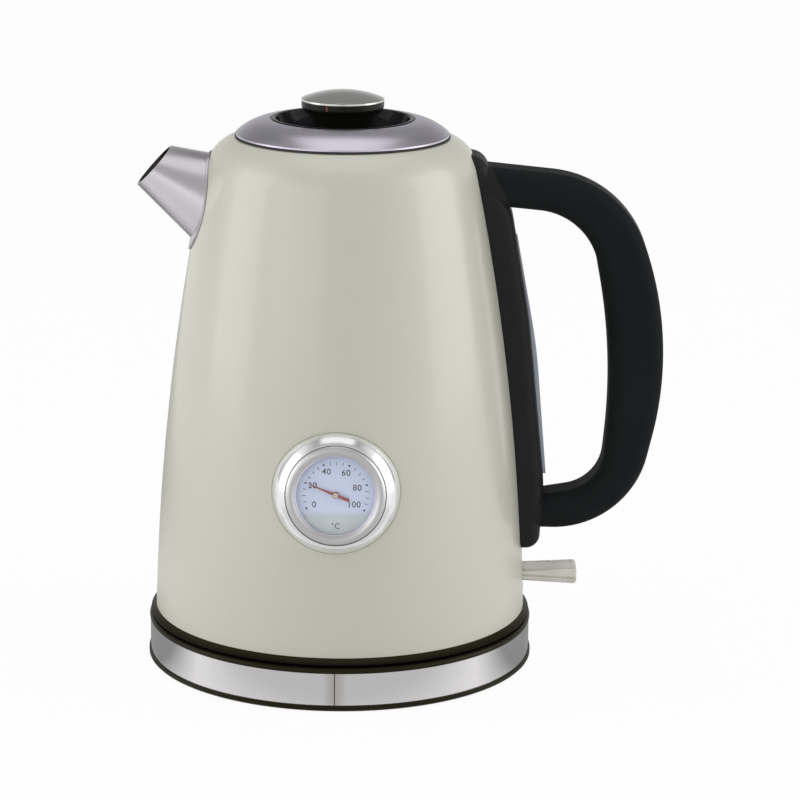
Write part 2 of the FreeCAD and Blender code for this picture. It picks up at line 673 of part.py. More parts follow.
def steam_bimetal():
    body = start_body("steam_bimetal")
    pad(body, "disc", draw(body, "place", "XY_Plane", ("circle", "steam_reach", "0", "6"), lift="arm_top"),
        "0.8")
    return body


def indicator_lamp():
    body = start_body("indicator_lamp")
    pad(body, "bulb",
        draw(body, "place", "YZ_Plane", ("circle", "0", "lever_height", "2"), lift="arm_reach - 5"),
        "5.6")
    return body


def steam_tube():
    body = start_body("steam_tube")
    pad(body, "tube", draw(body, "place", "XY_Plane", ("circle", "steam_reach", "0", "steam_radius"),
        ("circle", "steam_reach", "0", "steam_radius - 0.6"), lift="arm_top + 1.4"),
        "steam_top - arm_top - 1.4")
    return body


def kettle_connector():
    body = start_body("kettle_connector")
    turn(body, "skirt", [
        ("0", "connector_low"), ("connector_radius - 1.8", "connector_low"),
        ("connector_radius - 1.8", "cover_low + 0.4"),
        ("connector_radius", "cover_low + 0.4"), ("connector_radius", "connector_low - 1"),
        ("connector_radius + 3", "connector_low - 1"), ("connector_radius + 3", "control_low"),
        ("0", "control_low")])
    return body


def connector_pins():
    body = start_body("connector_pins")
    turn(body, "pin", [
        ("0", "groove_floor + 3"), ("1.6", "groove_floor + 3"), ("2.5", "groove_floor + 4.4"),
        ("2.5", "connector_low"), ("0", "connector_low")])
    turn(body, "hoop",
        rect("groove_inner + 0.9", "groove_floor + 3.8", "groove_outer - 1.6", "connector_low"))
    return body


def kettle_base_ring():
    body = start_body("kettle_base_ring")
    turn(body, "ring", [
        ("cover_radius - 6", "cover_top"), ("cover_radius + 0.2", "cover_top"),
        ("cover_radius + 0.2", "ring_low"),
        ("ring_radius - 0.7", "ring_low"), ("via", "ring_radius - 0.1", "ring_low + 0.3"),
        ("ring_radius", "ring_low + 0.9"), ("wall_low_radius + 0.2", "shell_low - 0.3"),
        ("wall_low_radius", "shell_low"), ("upstand_radius", "shell_low"), ("upstand_radius", "upstand"),
        ("upstand_radius - base_wall", "upstand"), ("upstand_radius - base_wall", "cover_top + 2"),
        ("cover_radius - 6", "cover_top + 2")])
    boss = pad(body, "boss", draw(body, "boss_place", "XY_Plane",
               ("circle", "0", "-cover_screw_circle", "3.4"), lift="cover_top + 1"), "7")
    hole = cut(body, "boss_hole", draw(body, "hole_place", "XY_Plane",
               ("circle", "0", "-cover_screw_circle", "screw_shank + fit"), lift="cover_top"), "8",
               back=True)
    around(body, "bosses", [boss, hole], 3)
    return body


def bottom_cover():
    body = start_body("bottom_cover")
    turn(body, "plate", [
        ("cover_hole", "cover_low"), ("cover_screw_circle - 8", "cover_low"),
        ("cover_screw_circle - 8", "base_top + seat_gap"),
        ("cover_screw_circle - 5", "base_top + seat_gap"),
        ("cover_screw_circle - 5", "cover_low"), ("cover_radius", "cover_low"),
        ("cover_radius", "cover_top"),
        ("cover_hole", "cover_top")])
    sink = cut(body, "sink", draw(body, "sink_place", "XY_Plane",
               ("circle", "0", "-cover_screw_circle", "screw_head + 0.2"), lift="cover_low"), "1.1",
               back=True)
    hole = cut(body, "hole", draw(body, "hole_place", "XY_Plane",
               ("circle", "0", "-cover_screw_circle", "screw_shank + 0.2"), lift="cover_low"), "3",
               back=True)
    around(body, "holes", [sink, hole], 3)
    return body


def bottom_screws():
    body = start_body("bottom_screws")
    place = ("circle", "0", "-cover_screw_circle")
    head = pad(body, "head",
        draw(body, "head_place", "XY_Plane", place + ("screw_head",), lift="cover_low + 0.1"), "1")
    shank = pad(body, "shank", draw(body, "shank_place", "XY_Plane", place + ("screw_shank",),
                lift="cover_low + 1.1"), "7")
    around(body, "screws", [head, shank], 3)
    return body


# Spout

def spout_loft(label, sheet):
    """A tapering solid from the root circle to the slanted lip, built to +X."""
    body = start_body(label)
    root = draw(body, "root", "YZ_Plane", ("circle", "0", "0", "root_radius - " + sheet),
                lift="root_reach", tilt="-root_tilt", raise_by="root_height")
    lip = draw(body, "lip", "YZ_Plane", ("ellipse", "0", "0", "lip_wide - " + sheet, "lip_tall - " + sheet),
               lift="lip_reach", tilt="-lip_tilt", raise_by="lip_height")
    loft = feature(body, "AdditiveLoft", "cone", root)
    loft.Sections = [(lip, [""])]
    turn_back(body)
    return body


def turn_back(item):
    """Turn a piece that was built to +X round to -X."""
    item.Placement = FreeCAD.Placement(vector(0, 0, 0), FreeCAD.Rotation(vector(0, 0, 1), 180))
    doc.recompute()


def spout(wall, skin):
    flange = start_body("spout_flange_blank")
    pad(flange, "disc", draw(flange, "place", "YZ_Plane", ("circle", "0", "0", "flange_radius"),
        lift="root_reach", tilt="-root_tilt", raise_by="root_height"), "30")
    turn_back(flange)
    rim = join("MultiCommon", "spout_rim", flange, skin)
    joined = join("MultiFuse", "spout_joined", spout_loft("spout_outside", "0"), rim)
    trimmed = join("Cut", "spout_trimmed", joined, wall)
    return join("Cut", "spout", trimmed, spout_loft("spout_inside", "spout_sheet"))


def spout_strainer():
    body = start_body("spout_strainer")
    inside = "wall_centre_r + sqrt(wall_bow^2 - (%s - wall_centre_z)^2) - wall_sheet - 0.15"
    low, high = "root_height - spout_hole - 3", "wall_top_height - 0.5"
    low_in, high_in = inside % ("(" + low + ")"), inside % ("(" + high + ")")
    turn(body, "sheet",
        [(low_in + " - 0.6", low), (low_in, low), (high_in, high), (high_in + " - 0.6", high)],
         angle="38")
    rows = []
    for row in range(-2, 3):
        for column in range(-2, 3):
            rows.append(("circle", "%s" % (6 * column), "root_height + %s" % (6 * row), "2"))
    cut(body, "holes", draw(body, "hole_place", "YZ_Plane", *rows), "wall_low_radius", back=True)
    turn_back(body)
    return body


# Lid

def lid_dome():
    body = start_body("lid_dome")
    turn(body, "dome", [
        ("lid_radius - lid_bead", "lid_low"), ("lid_radius - 0.4", "lid_low"),
        ("lid_radius", "lid_low + 0.4"),
        ("lid_radius", "lid_low + lid_bead"), ("via", "dome_mid_radius", "dome_mid_height"),
        ("dish_radius + 0.4", "dish_rim_height - 0.2"), ("dish_radius + 0.4", "dish_rim_height - 1.6"),
        ("via", "dome_mid_radius - 0.5", "dome_mid_height - lid_sheet"),
        ("lid_radius - lid_bead", "lid_low + 0.7")])
    return body


def lid_dish():
    body = start_body("lid_dish")
    turn(body, "bowl", [
        ("stem_radius - 4", "plug_low + 1"), ("stem_radius - 2", "plug_low + 1"),
        ("stem_radius - 2", "dish_low - 1.6"),
        ("stem_radius + 4", "dish_low - 1.6"), ("via", "dish_radius - 5.2", "dish_low + 2.4"),
        ("dish_radius - 0.2", "dish_rim_height - 2.4"), ("dish_radius + 0.2", "dish_rim_height - 2"),
        ("dish_radius + 0.2", "dish_rim_height - 0.4"),
        ("via", "dish_radius - 0.6", "dish_rim_height + 0.1"),
        ("dish_radius - 1.8", "dish_rim_height - 0.8"), ("via", "dish_radius - 6.8", "dish_low + 3.2"),
        ("stem_radius + 3", "dish_low"), ("stem_radius - 4", "dish_low")])
    return body


def lid_knob():
    body = start_body("lid_knob")
    turn(body, "stem", [
        ("0", "dish_low"), ("stem_radius + 0.6", "dish_low"), ("via", "stem_radius + 0.4", "dish_low + 7"),
        ("knob_radius - 1.6", "knob_low - 0.9"), ("via", "knob_radius - 0.3", "knob_low - 0.3"),
        ("knob_radius", "knob_low + 0.6"), ("knob_radius", "knob_high"), ("0", "knob_high")])
    turn(body, "screw_hole", rect("0", "dish_low - 1", "2.6", "dish_low + 11"), kind="Groove")
    return body


def knob_cap():
    body = start_body("knob_cap")
    turn(body, "dome", [
        ("0", "knob_high"), ("knob_radius", "knob_high"), ("knob_radius", "knob_high + 0.7"),
        ("via", "knob_radius / 2", "knob_high + cap_rise - cap_bow + sqrt(cap_bow^2 - knob_radius^2 / 4)"),
        ("0", "knob_high + cap_rise")])
    return body


def lid_inner_cover():
    body = start_body("lid_inner_cover")
    turn(body, "cup", [
        ("2.7", "plug_low"), ("plug_radius - 1", "plug_low"), ("plug_radius", "plug_low + 1"),
        ("plug_radius", "lid_low + 2.6"), ("plug_radius - 1", "lid_low + 2.6"),
        ("plug_radius - 1", "plug_low + 1.4"),
        ("plug_radius - 1.4", "plug_low + 1"), ("2.7", "plug_low + 1")])
    return body


def lid_seal():
    body = start_body("lid_seal")
    turn(body, "ring", [
        ("plug_radius + fit", "plug_low + 2.5"), ("mouth_radius - 0.4", "plug_low + 3.1"),
        ("plug_radius + 0.6", "plug_low + 4"), ("mouth_radius - 0.4", "plug_low + 4.9"),
        ("plug_radius + fit", "plug_low + 5.6")])
    return body


def lid_screw():
    body = start_body("lid_screw")
    turn(body, "screw", [
        ("0", "plug_low - 1.8"), ("3.6", "plug_low - 1.8"), ("4.6", "plug_low - 0.8"), ("4.6", "plug_low"),
        ("2.5", "plug_low"), ("2.5", "dish_low + 10"), ("0", "dish_low + 10")])
    return body


# Handle

# Name, height and inner end of each screw that holds the handle to the wall
SCREW_PLACES = (("low", "screw_low_height", "screw_low_reach"),
    ("high", "screw_high_height", "screw_high_reach"))


def spine_block(label):
    """The spine's full block, from inside the wall outwards."""
    body = start_body(label)
    inner = number("crown_radius - 4")
    outline = draw(body, "outline", "XZ_Plane", [
        "rounded", ("wall_low_radius - 9", "spine_low"), ("spine_reach - spine_taper", "spine_low", "6"),
        ("spine_reach", "spine_bend", "60"), ("spine_mid_reach", "spine_mid_height", "250"),
        ("spine_neck_reach", "spine_neck_height", "15"), ("spine_top_reach", "spine_top", "8"),
        ("crown_radius - 4", "spine_top")])
    block = pad(body, "block", outline, "spine_width", both=True)
    half = number("spine_width / 2")

    def outer(edge):
        reach = max(corner.X for corner in edge.Vertexes)
        back_edge = abs(edge.BoundBox.XMin - inner) < 0.1 and edge.BoundBox.ZLength > number("spine_foot")
        return on_side(half)(edge) and reach > inner + 8 and not back_edge
    round_edges(body, "soft", block, "spine_round", outer)
    return body


def spine_blank():
    body = spine_block("spine_blank")
    cut(body, "window_slot", draw(body, "window_place", "YZ_Plane",
        rect("-window_width / 2 - fit", "window_low - fit", "window_width / 2 + fit", "window_high + fit")),
        "spine_reach + 10", back=True)
    for name, height, inset in SCREW_PLACES:
        cut(body, name + "_screw", draw(body, name + "_screw_place", "YZ_Plane",
            ("circle", "0", height, "spine_screw_shank + fit"), lift=inset), "9.6", back=True)
    return body


def handle_spine(wall):
    return join("Cut", "handle_spine", spine_blank(), wall)


def grip_blank():
    """The grip with both ends let into the spine."""
    body = start_body("grip_blank")
    neck = "spine_neck_reach - (%s - spine_neck_height) * spine_lean - grip_root"
    foot = "spine_reach - grip_root"
    tall = "(grip_top - grip_sole)"
    outline = draw(body, "outline", "XZ_Plane", [
        "rounded", (neck % "grip_top", "grip_top + 0.5"),
        ("grip_reach - 23.7", "grip_top - 5.6", tall + " * 0.295"),
        ("grip_reach", "grip_mid", tall + " * 0.93"),
        ("grip_reach - 18.6", "grip_sole - 0.6", tall + " * 0.26"), (foot, "grip_sole"),
        (foot, "grip_floor - 0.4"), ("grip_inner - 4.8", "grip_floor + 4.6", "18.5"),
        ("grip_inner", "grip_inner_mid", tall + " * 1.54"),
        ("grip_inner - 11.9", "grip_under - 3.7", "(grip_inner - 11.9 - spine_neck_reach) * 0.87"),
        (neck % "grip_under", "grip_under")])
    block = pad(body, "block", outline, "grip_width", both=True)
    half = number("grip_width / 2")
    foot_end = number(foot)
    neck_end = number(neck % "grip_under")

    def long_edge(edge):
        middle = edge.valueAt((edge.FirstParameter + edge.LastParameter) / 2)
        at_foot = abs(middle.x - foot_end) < 0.05
        at_neck = edge.BoundBox.XMax < neck_end + 0.05
        return on_side(half)(edge) and not at_foot and not at_neck
    round_edges(body, "soft", block, "grip_round", long_edge)
    return body


def handle_grip():
    return join("Cut", "handle_grip", grip_blank(), spine_block("spine_room"))


def handle_screws():
    body = start_body("handle_screws")
    for name, height, inset in SCREW_PLACES:
        head = draw(body, name + "_head_place", "YZ_Plane", ("circle", "0", height, "spine_screw_head"),
                    lift=inset)
        pad(body, name + "_head", head, "2")
        shank = draw(body, name + "_shank_place", "YZ_Plane", ("circle", "0", height, "spine_screw_shank"),
                     lift=inset + " + 2")
        pad(body, name + "_shank", shank, "7")
    return body


def window_blank(label, sheet):
    """The window's block, or the hollow inside it, from the wall outwards."""
    body = start_body(label)
    pad(body, "block", draw(body, "outline", "XZ_Plane", [
        "rounded", ("wall_top_radius - 10", "window_low + " + sheet),
        ("window_low_reach - " + sheet, "window_low + " + sheet),
        ("window_mid_reach - " + sheet, "window_mid_height", "200"),
        ("window_high_reach - " + sheet, "window_high - " + sheet),
        ("wall_top_radius - 10", "window_high - " + sheet)]),
        "window_width - 2 * " + sheet, both=True)
    return body


def water_window(wall, skin):
    hollow = window_blank("window_hollow", "window_sheet")
    block = window_blank("window_block", "0")
    case = join("Cut", "window_case", block, hollow)
    clear = join("Cut", "window_clear", case, wall)
    pane = join("Cut", "water_window", clear, skin)
    seal = join("MultiCommon", "window_seal", case, skin)
    return pane, seal


# Thermometer dial, built along its own Z axis and then set on the wall

def set_on_wall(item):
    turned = FreeCAD.Rotation(vector(1, 0, 0), number("90 - dial_tilt"))
    item.Placement = FreeCAD.Placement(vector(0, 0, 0), turned)
    item.setExpression("Placement.Rotation.Angle", bound("90 - dial_tilt"))
    item.setExpression("Placement.Base.y", bound("-dial_reach"))
    item.setExpression("Placement.Base.z", bound("dial_height"))
    doc.recompute()


def dial_turned(label, *loops):
    body = start_body(label)
    for row, loop in enumerate(loops):
        turn(body, "turned%d" % row, loop)
    set_on_wall(body)
    return body


def dial_bezel(wall):
    blank = dial_turned("bezel_blank", [
        ("case_radius + 0.2", "bezel_top"), ("via", "bezel_radius - 1.7", "bezel_top - 2.1"),
        ("bezel_radius", "0"), ("flare_radius", "-bezel_skirt"), ("flare_radius - 1.2", "-bezel_skirt"),
        ("bezel_radius - 1.2", "0"), ("via", "bezel_radius - 2.6", "bezel_top - 3"),
        ("case_radius + 0.2", "bezel_top - 1.2")])
    return join("Cut", "dial_bezel", blank, wall)


def dial_case():
    return dial_turned("dial_case", [
        ("shaft_radius + 0.5", "0.6"), ("case_radius", "0.6"), ("case_radius", "case_top - 0.6"),
        ("via", "case_radius - 1.4", "case_top + 0.5"), ("case_radius - 2.9", "case_top + 0.4"),
        ("window_radius - 0.6", "glass_level + 0.9"), ("window_radius - 0.6", "glass_level + 0.8"),
        ("window_radius", "glass_level + 0.8"), ("window_radius", "face_level"),
        ("shaft_radius + 0.5", "face_level")])


def dial_face():
    return dial_turned("dial_face",
        rect("shaft_radius + 0.4", "face_level", "face_radius", "face_level + 0.5"))


def dial_glass():
    return dial_turned("dial_glass", rect("0", "glass_level", "window_radius - fit", "glass_level + 0.7"))


def dial_pointer():
    body = start_body("dial_pointer")
    needle = draw(body, "needle", "XY_Plane", [
        ("-needle_tail", "-0.65"), ("1.2", "-0.5"), ("needle_length", "-0.12"), ("needle_length", "0.12"),
        ("1.2", "0.5"), ("-needle_tail", "0.65")], lift="needle_level")
    pad(body, "blade", needle, "0.4")
    turn(body, "hub", [
        ("0", "needle_level - 0.4"), ("1.3", "needle_level - 0.4"), ("1.3", "needle_level + 0.5"),
        ("0.9", "needle_level + 0.9"), ("0", "needle_level + 0.9")])
    turned = FreeCAD.Rotation(vector(1, 0, 0), number("90 - dial_tilt"))
    body.Placement = FreeCAD.Placement(
        vector(0, -number("dial_reach"), number("dial_height")),
        turned.multiply(FreeCAD.Rotation(vector(0, 0, 1), number("scale_rest"))))
    doc.recompute()
    return body


def pointer_shaft():
    return dial_turned("pointer_shaft",
        rect("0", "-probe_length + 3", "shaft_radius", "needle_level - 0.4"))


def dial_probe():
    return dial_turned("dial_probe", [
        ("0", "-probe_length"), ("probe_radius - 0.8", "-probe_length"),
        ("probe_radius", "-probe_length + 1"),
        ("probe_radius", "0.6"), ("probe_radius - 1", "0.6"), ("probe_radius - 1", "-probe_length + 1.6"),
        ("0", "-probe_length + 1.6")])


def probe_seal():
    return dial_turned("probe_seal", rect("probe_radius + fit", "0.08", "probe_radius + 3", "0.6"))


def probe_nut():
    return dial_turned("probe_nut", rect("probe_radius + fit", "-5", "probe_radius + 3", "-1.45"))


# Switch lever

def switch_lever():
    body = start_body("switch_lever")
    blade = draw(body, "outline", "XZ_Plane", [
        "rounded", ("pivot_reach - 3.4", "lever_height - 2.9", "2"),
        ("wall_low_radius - 1", "lever_height - lever_root_half", "12"),
        ("lever_reach", "lever_height - lever_tip_half", "1.6"),
        ("lever_reach", "lever_height + lever_tip_half", "1.6"),
        ("wall_low_radius - 1", "lever_height + lever_root_half", "12"),
        ("pivot_reach - 3.4", "lever_height + 2.9", "2")])
    block = pad(body, "blade", blade, "lever_width", both=True)
    half = number("lever_width / 2")
    round_edges(body, "soft", block, "1.2", on_side(half))
    pad(body, "trunnions", draw(body, "pivot_place", "XZ_Plane",
        ("circle", "pivot_reach", "lever_height", "pivot_radius")), "lever_width + 7", both=True)
    return body


def build_all():
    wall = wall_solid("wall_solid", "0")
    proud = wall_solid("proud_solid", "(-skin)")
    skin = join("Cut", "wall_skin", proud, wall)
    pane, seal = water_window(wall, skin)
    pieces = [
        base_lower_housing(), base_upper_housing(), base_trim_band(), base_socket(), socket_contacts(),
        socket_shutter(), base_feet(), base_screws(), cord_gland(),
        body_shell(), vessel_floor(), heat_plate(), heating_element(), element_terminals(), control_unit(),
        control_bimetals(), steam_bimetal(), indicator_lamp(), steam_tube(), kettle_connector(),
        connector_pins(),
        kettle_base_ring(), bottom_cover(), bottom_screws(), spout(wall, skin), spout_strainer(),
        lid_dome(), lid_dish(), lid_knob(), knob_cap(), lid_inner_cover(), lid_seal(), lid_screw(),
        handle_spine(wall), handle_grip(), handle_screws(), pane, seal,
        dial_bezel(wall), dial_case(), dial_face(), dial_glass(), dial_pointer(), pointer_shaft(),
        dial_probe(),
        probe_seal(), probe_nut(), switch_lever()]
    doc.recompute()
    return pieces


def write_all(pieces):
    for item in doc.Objects:
        if "Invalid" in item.State or "Error" in item.State:
            raise RuntimeError("not built: " + item.Label)
    os.makedirs("parts", exist_ok=True)
    for piece in pieces:
        if piece.Shape.isNull() or not piece.Shape.isValid() or not piece.Shape.Solids:
            raise RuntimeError("no sound solid: " + piece.Label)
        piece.Shape.exportStep("parts/" + piece.Label + ".step")


fill_sheets()
write_all(build_all())
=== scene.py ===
import json
import math

import bmesh
import bpy
from mathutils import Matrix, Vector
from mathutils.bvhtree import BVHTree


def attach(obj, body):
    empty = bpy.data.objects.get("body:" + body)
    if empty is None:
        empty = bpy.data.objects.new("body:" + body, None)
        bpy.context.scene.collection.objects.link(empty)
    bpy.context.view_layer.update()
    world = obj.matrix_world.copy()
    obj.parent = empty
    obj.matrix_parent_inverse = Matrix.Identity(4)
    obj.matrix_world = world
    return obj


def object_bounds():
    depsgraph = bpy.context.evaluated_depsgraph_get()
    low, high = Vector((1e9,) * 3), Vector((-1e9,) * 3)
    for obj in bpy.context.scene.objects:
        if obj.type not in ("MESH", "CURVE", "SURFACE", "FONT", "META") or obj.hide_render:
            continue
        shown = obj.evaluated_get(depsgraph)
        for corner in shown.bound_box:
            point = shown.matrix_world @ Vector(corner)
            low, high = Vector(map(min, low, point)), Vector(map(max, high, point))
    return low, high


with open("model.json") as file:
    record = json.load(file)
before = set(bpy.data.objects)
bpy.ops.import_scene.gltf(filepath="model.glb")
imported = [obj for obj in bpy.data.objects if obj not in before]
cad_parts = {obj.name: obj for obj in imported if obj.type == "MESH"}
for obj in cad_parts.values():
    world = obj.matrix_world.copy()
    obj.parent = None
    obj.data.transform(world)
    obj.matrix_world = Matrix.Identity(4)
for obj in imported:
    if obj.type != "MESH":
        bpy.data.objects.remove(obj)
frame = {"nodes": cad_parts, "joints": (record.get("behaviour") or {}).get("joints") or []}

cad_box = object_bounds()
nodes = frame["nodes"]
joints = {joint["name"]: joint for joint in frame["joints"]}
MM = 0.001


# Node graph helpers

def add(tree, kind, inputs=None, **settings):
    """Add a shader node, set it up, and fill or link its inputs."""
    made = tree.nodes.new("ShaderNode" + kind)
    for name, value in settings.items():
        setattr(made, name, value)
    for key, value in (inputs or {}).items():
        fill(tree, made.inputs[key], value)
    return made


def fill(tree, socket, value):
    if isinstance(value, bpy.types.NodeSocket):
        tree.links.new(value, socket)
    else:
        socket.default_value = value


def maths(tree, operation, *values):
    return add(tree, "Math", dict(enumerate(values)), operation=operation).outputs[0]


def blend(tree, factor, low, high):
    """A colour between two colours."""
    made = add(tree, "Mix", {0: factor, 6: low, 7: high}, data_type="RGBA")
    return made.outputs[2]


def ramp(tree, value, low, high, to_low, to_high):
    """A value carried from one range to another, held at both ends."""
    return add(tree, "MapRange", {0: value, 1: low, 2: high, 3: to_low, 4: to_high}).outputs[0]


def noise(tree, place, scale, detail, rough=0.5):
    made = add(tree, "TexNoise", {"Vector": place, "Scale": scale, "Detail": detail, "Roughness": rough})
    return made.outputs[0]


def spread(tree, place, across, along, up):
    """A place with each axis stretched by its own factor."""
    return add(tree, "Mapping", {"Vector": place, "Scale": (across, along, up)}).outputs[0]


def place_parts(tree):
    """The place on the surface as three numbers, in metres."""
    return add(tree, "SeparateXYZ", {0: add(tree, "TexCoord").outputs["Object"]}).outputs


def rgb(red, green, blue):
    return (red, green, blue, 1.0)


# Shared finishes

NOISE_LOW = 0.3
NOISE_HIGH = 0.7
CLOUD_WEAR = 0.6
SCUFF_STRETCH = (900.0, 700.0, 60.0)
SCUFF_LOW = 0.62
SCUFF_HIGH = 0.74
# A small share of the turn round the axis, so that the brushed lines run long
LINE_TURN = 0.0006
SMUDGE_SCALE = 38.0
SMUDGE_LOW = 0.45
SMUDGE_HIGH = 0.7


def new_group(name, numbers, colours):
    """An empty group with number and colour inputs, and the outputs that every finish gives."""
    tree = bpy.data.node_groups.new(name, "ShaderNodeTree")
    for word in colours:
        tree.interface.new_socket(word, in_out="INPUT", socket_type="NodeSocketColor")
    for word in numbers:
        tree.interface.new_socket(word, in_out="INPUT", socket_type="NodeSocketFloat")
    tree.interface.new_socket("Color", in_out="OUTPUT", socket_type="NodeSocketColor")
    for word in ("Roughness", "Height"):
        tree.interface.new_socket(word, in_out="OUTPUT", socket_type="NodeSocketFloat")
    return tree, tree.nodes.new("NodeGroupInput").outputs, tree.nodes.new("NodeGroupOutput").inputs


def moulded_group():
    """Grain, cloudy tone and faint scuffs of a moulded, painted or cast surface."""
    tree, given, wanted = new_group(
        "moulded", ("Grain", "Cloud", "Smooth", "Rough", "Scuff"), ("Tone", "Worn"))
    place = add(tree, "TexCoord").outputs["Object"]
    cloud = noise(tree, place, given["Cloud"], 3.0)
    grain = noise(tree, place, given["Grain"], 2.0)
    streaks = noise(tree, spread(tree, place, *SCUFF_STRETCH), 1.0, 3.0, 0.6)
    scuffs = maths(tree, "MULTIPLY", ramp(tree, streaks, SCUFF_LOW, SCUFF_HIGH, 0.0, 1.0), given["Scuff"])
    worn = maths(tree, "ADD", ramp(tree, cloud, NOISE_LOW, NOISE_HIGH, 0.0, CLOUD_WEAR), scuffs)
    uneven = maths(tree, "ADD", ramp(tree, grain, NOISE_LOW, NOISE_HIGH, 0.0, 0.5),
                   ramp(tree, cloud, NOISE_LOW, NOISE_HIGH, 0.0, 0.5))
    tree.links.new(blend(tree, worn, given["Tone"], given["Worn"]), wanted["Color"])
    tree.links.new(ramp(tree, uneven, 0.0, 1.0, given["Smooth"], given["Rough"]), wanted["Roughness"])
    tree.links.new(grain, wanted["Height"])
    return tree


def brushed_group():
    """Fine lines round the kettle's axis, as left by polishing on a lathe."""
    tree, given, wanted = new_group("brushed", ("Lines", "Smooth", "Rough", "Smudge"), ("Tone", "Streak"))
    place = add(tree, "TexCoord").outputs["Object"]
    parts = add(tree, "SeparateXYZ", {0: place}).outputs
    radius = maths(tree, "SQRT", maths(tree, "ADD", maths(tree, "POWER", parts[0], 2.0),
                                       maths(tree, "POWER", parts[1], 2.0)))
    turn = maths(tree, "ARCTAN2", parts[1], parts[0])
    around = maths(tree, "MULTIPLY", turn, LINE_TURN)
    unrolled = add(tree, "CombineXYZ", {0: radius, 1: around, 2: parts[2]}).outputs[0]
    fine = noise(tree, unrolled, given["Lines"], 4.0, 0.65)
    smudges = noise(tree, place, SMUDGE_SCALE, 4.0, 0.6)
    soft = maths(tree, "MULTIPLY", ramp(tree, smudges, SMUDGE_LOW, SMUDGE_HIGH, 0.0, 1.0), given["Smudge"])
    streaked = ramp(tree, fine, NOISE_LOW, NOISE_HIGH, 0.0, 1.0)
    tree.links.new(blend(tree, streaked, given["Tone"], given["Streak"]), wanted["Color"])
    lines = ramp(tree, fine, NOISE_LOW, NOISE_HIGH, given["Smooth"], given["Rough"])
    tree.links.new(maths(tree, "ADD", lines, soft), wanted["Roughness"])
    tree.links.new(fine, wanted["Height"])
    return tree


MOULDED = moulded_group()
BRUSHED = brushed_group()


def finish(name, group, values, bump, depth=0.2 * MM, **sockets):
    """A material whose colour, roughness and bump come from a shared finish."""
    made = bpy.data.materials.new(name)
    made.use_nodes = True
    tree = made.node_tree
    shader = tree.nodes["Principled BSDF"]
    shared = add(tree, "Group", node_tree=group)
    for key, value in values.items():
        shared.inputs[key].default_value = value
    tree.links.new(shared.outputs["Color"], shader.inputs["Base Color"])
    tree.links.new(shared.outputs["Roughness"], shader.inputs["Roughness"])
    relief = add(tree, "Bump", {"Strength": bump, "Distance": depth, "Height": shared.outputs["Height"]})
    tree.links.new(relief.outputs[0], shader.inputs["Normal"])
    for key, value in sockets.items():
        shader.inputs[key.replace("_", " ")].default_value = value
    return made


def retone(material, share, tones):
    """A finish takes other tones where a share is 0, and keeps its own where it is 1."""
    tree = material.node_tree
    shared = tree.nodes["Group"]
    for word, other in tones.items():
        own = tuple(shared.inputs[word].default_value)
        tree.links.new(blend(tree, share, other, own), shared.inputs[word])


def moulded(name, tone, worn, grain, smooth, rough, cloud=30.0, scuff=0.0, **more):
    values = {"Tone": tone, "Worn": worn, "Grain": grain, "Cloud": cloud, "Smooth": smooth,
              "Rough": rough, "Scuff": scuff}
    return finish(name, MOULDED, values, **more)


def brushed(name, tone, streak, lines, smooth, rough, smudge=0.03, **more):
    values = {"Tone": tone, "Streak": streak, "Lines": lines, "Smooth": smooth,
              "Rough": rough, "Smudge": smudge}
    return finish(name, BRUSHED, values, Metallic=1.0, **more)


# Materials

CREAM = moulded("cream_enamel", rgb(0.6, 0.597, 0.512), rgb(0.588, 0.585, 0.498),
                grain=420.0, smooth=0.28, rough=0.36, bump=0.003, Coat_Roughness=0.14)
SPINE_BLACK = moulded("spine_black", rgb(0.017, 0.017, 0.0175), rgb(0.021, 0.021, 0.0215),
                      grain=2600.0, smooth=0.4, rough=0.5, bump=0.1, depth=0.1 * MM, scuff=0.2,
                      Specular_IOR_Level=0.1)
GRIP_BLACK = moulded("grip_black", rgb(0.0122, 0.0138, 0.0148), rgb(0.0154, 0.0172, 0.0182),
                     grain=2600.0, smooth=0.4, rough=0.5, bump=0.1, depth=0.1 * MM, scuff=0.2,
                     IOR=1.08)
DARK_BLACK = moulded("dark_black", rgb(0.011, 0.0098, 0.0045), rgb(0.015, 0.0135, 0.007),
                     grain=2400.0, smooth=0.28, rough=0.38, bump=0.1, depth=0.1 * MM, scuff=0.2,
                     Specular_IOR_Level=0.14, Specular_Tint=rgb(1.0, 0.92, 0.6))
RING_BLACK = moulded("ring_black", rgb(0.02, 0.0168, 0.0068), rgb(0.024, 0.02, 0.0085),
                     grain=2400.0, smooth=0.28, rough=0.38, bump=0.1, depth=0.1 * MM, scuff=0.2,
                     Specular_IOR_Level=0.06)
DISH_BLACK = moulded("dish_black", rgb(0.0022, 0.003, 0.0045), rgb(0.003, 0.004, 0.006),
                     grain=300.0, smooth=0.1, rough=0.16, bump=0.006, scuff=0.2,
                     Specular_IOR_Level=0.08)
KNOB_BLACK = moulded("knob_black", rgb(0.009, 0.0082, 0.007), rgb(0.013, 0.012, 0.01),
                     grain=1800.0, smooth=0.3, rough=0.42, bump=0.05, scuff=0.2,
                     Specular_IOR_Level=0.15)
# Painted highlight: the dish's rim bead is a lighter grey than the dish, standing for the pale line of light
# on its rim
DISH_RIM_HIGHLIGHT_GREY = moulded("dish_rim_highlight_grey", rgb(0.03, 0.03, 0.036), rgb(0.04, 0.04, 0.046),
                    grain=1800.0, smooth=0.2, rough=0.26, bump=0.02)
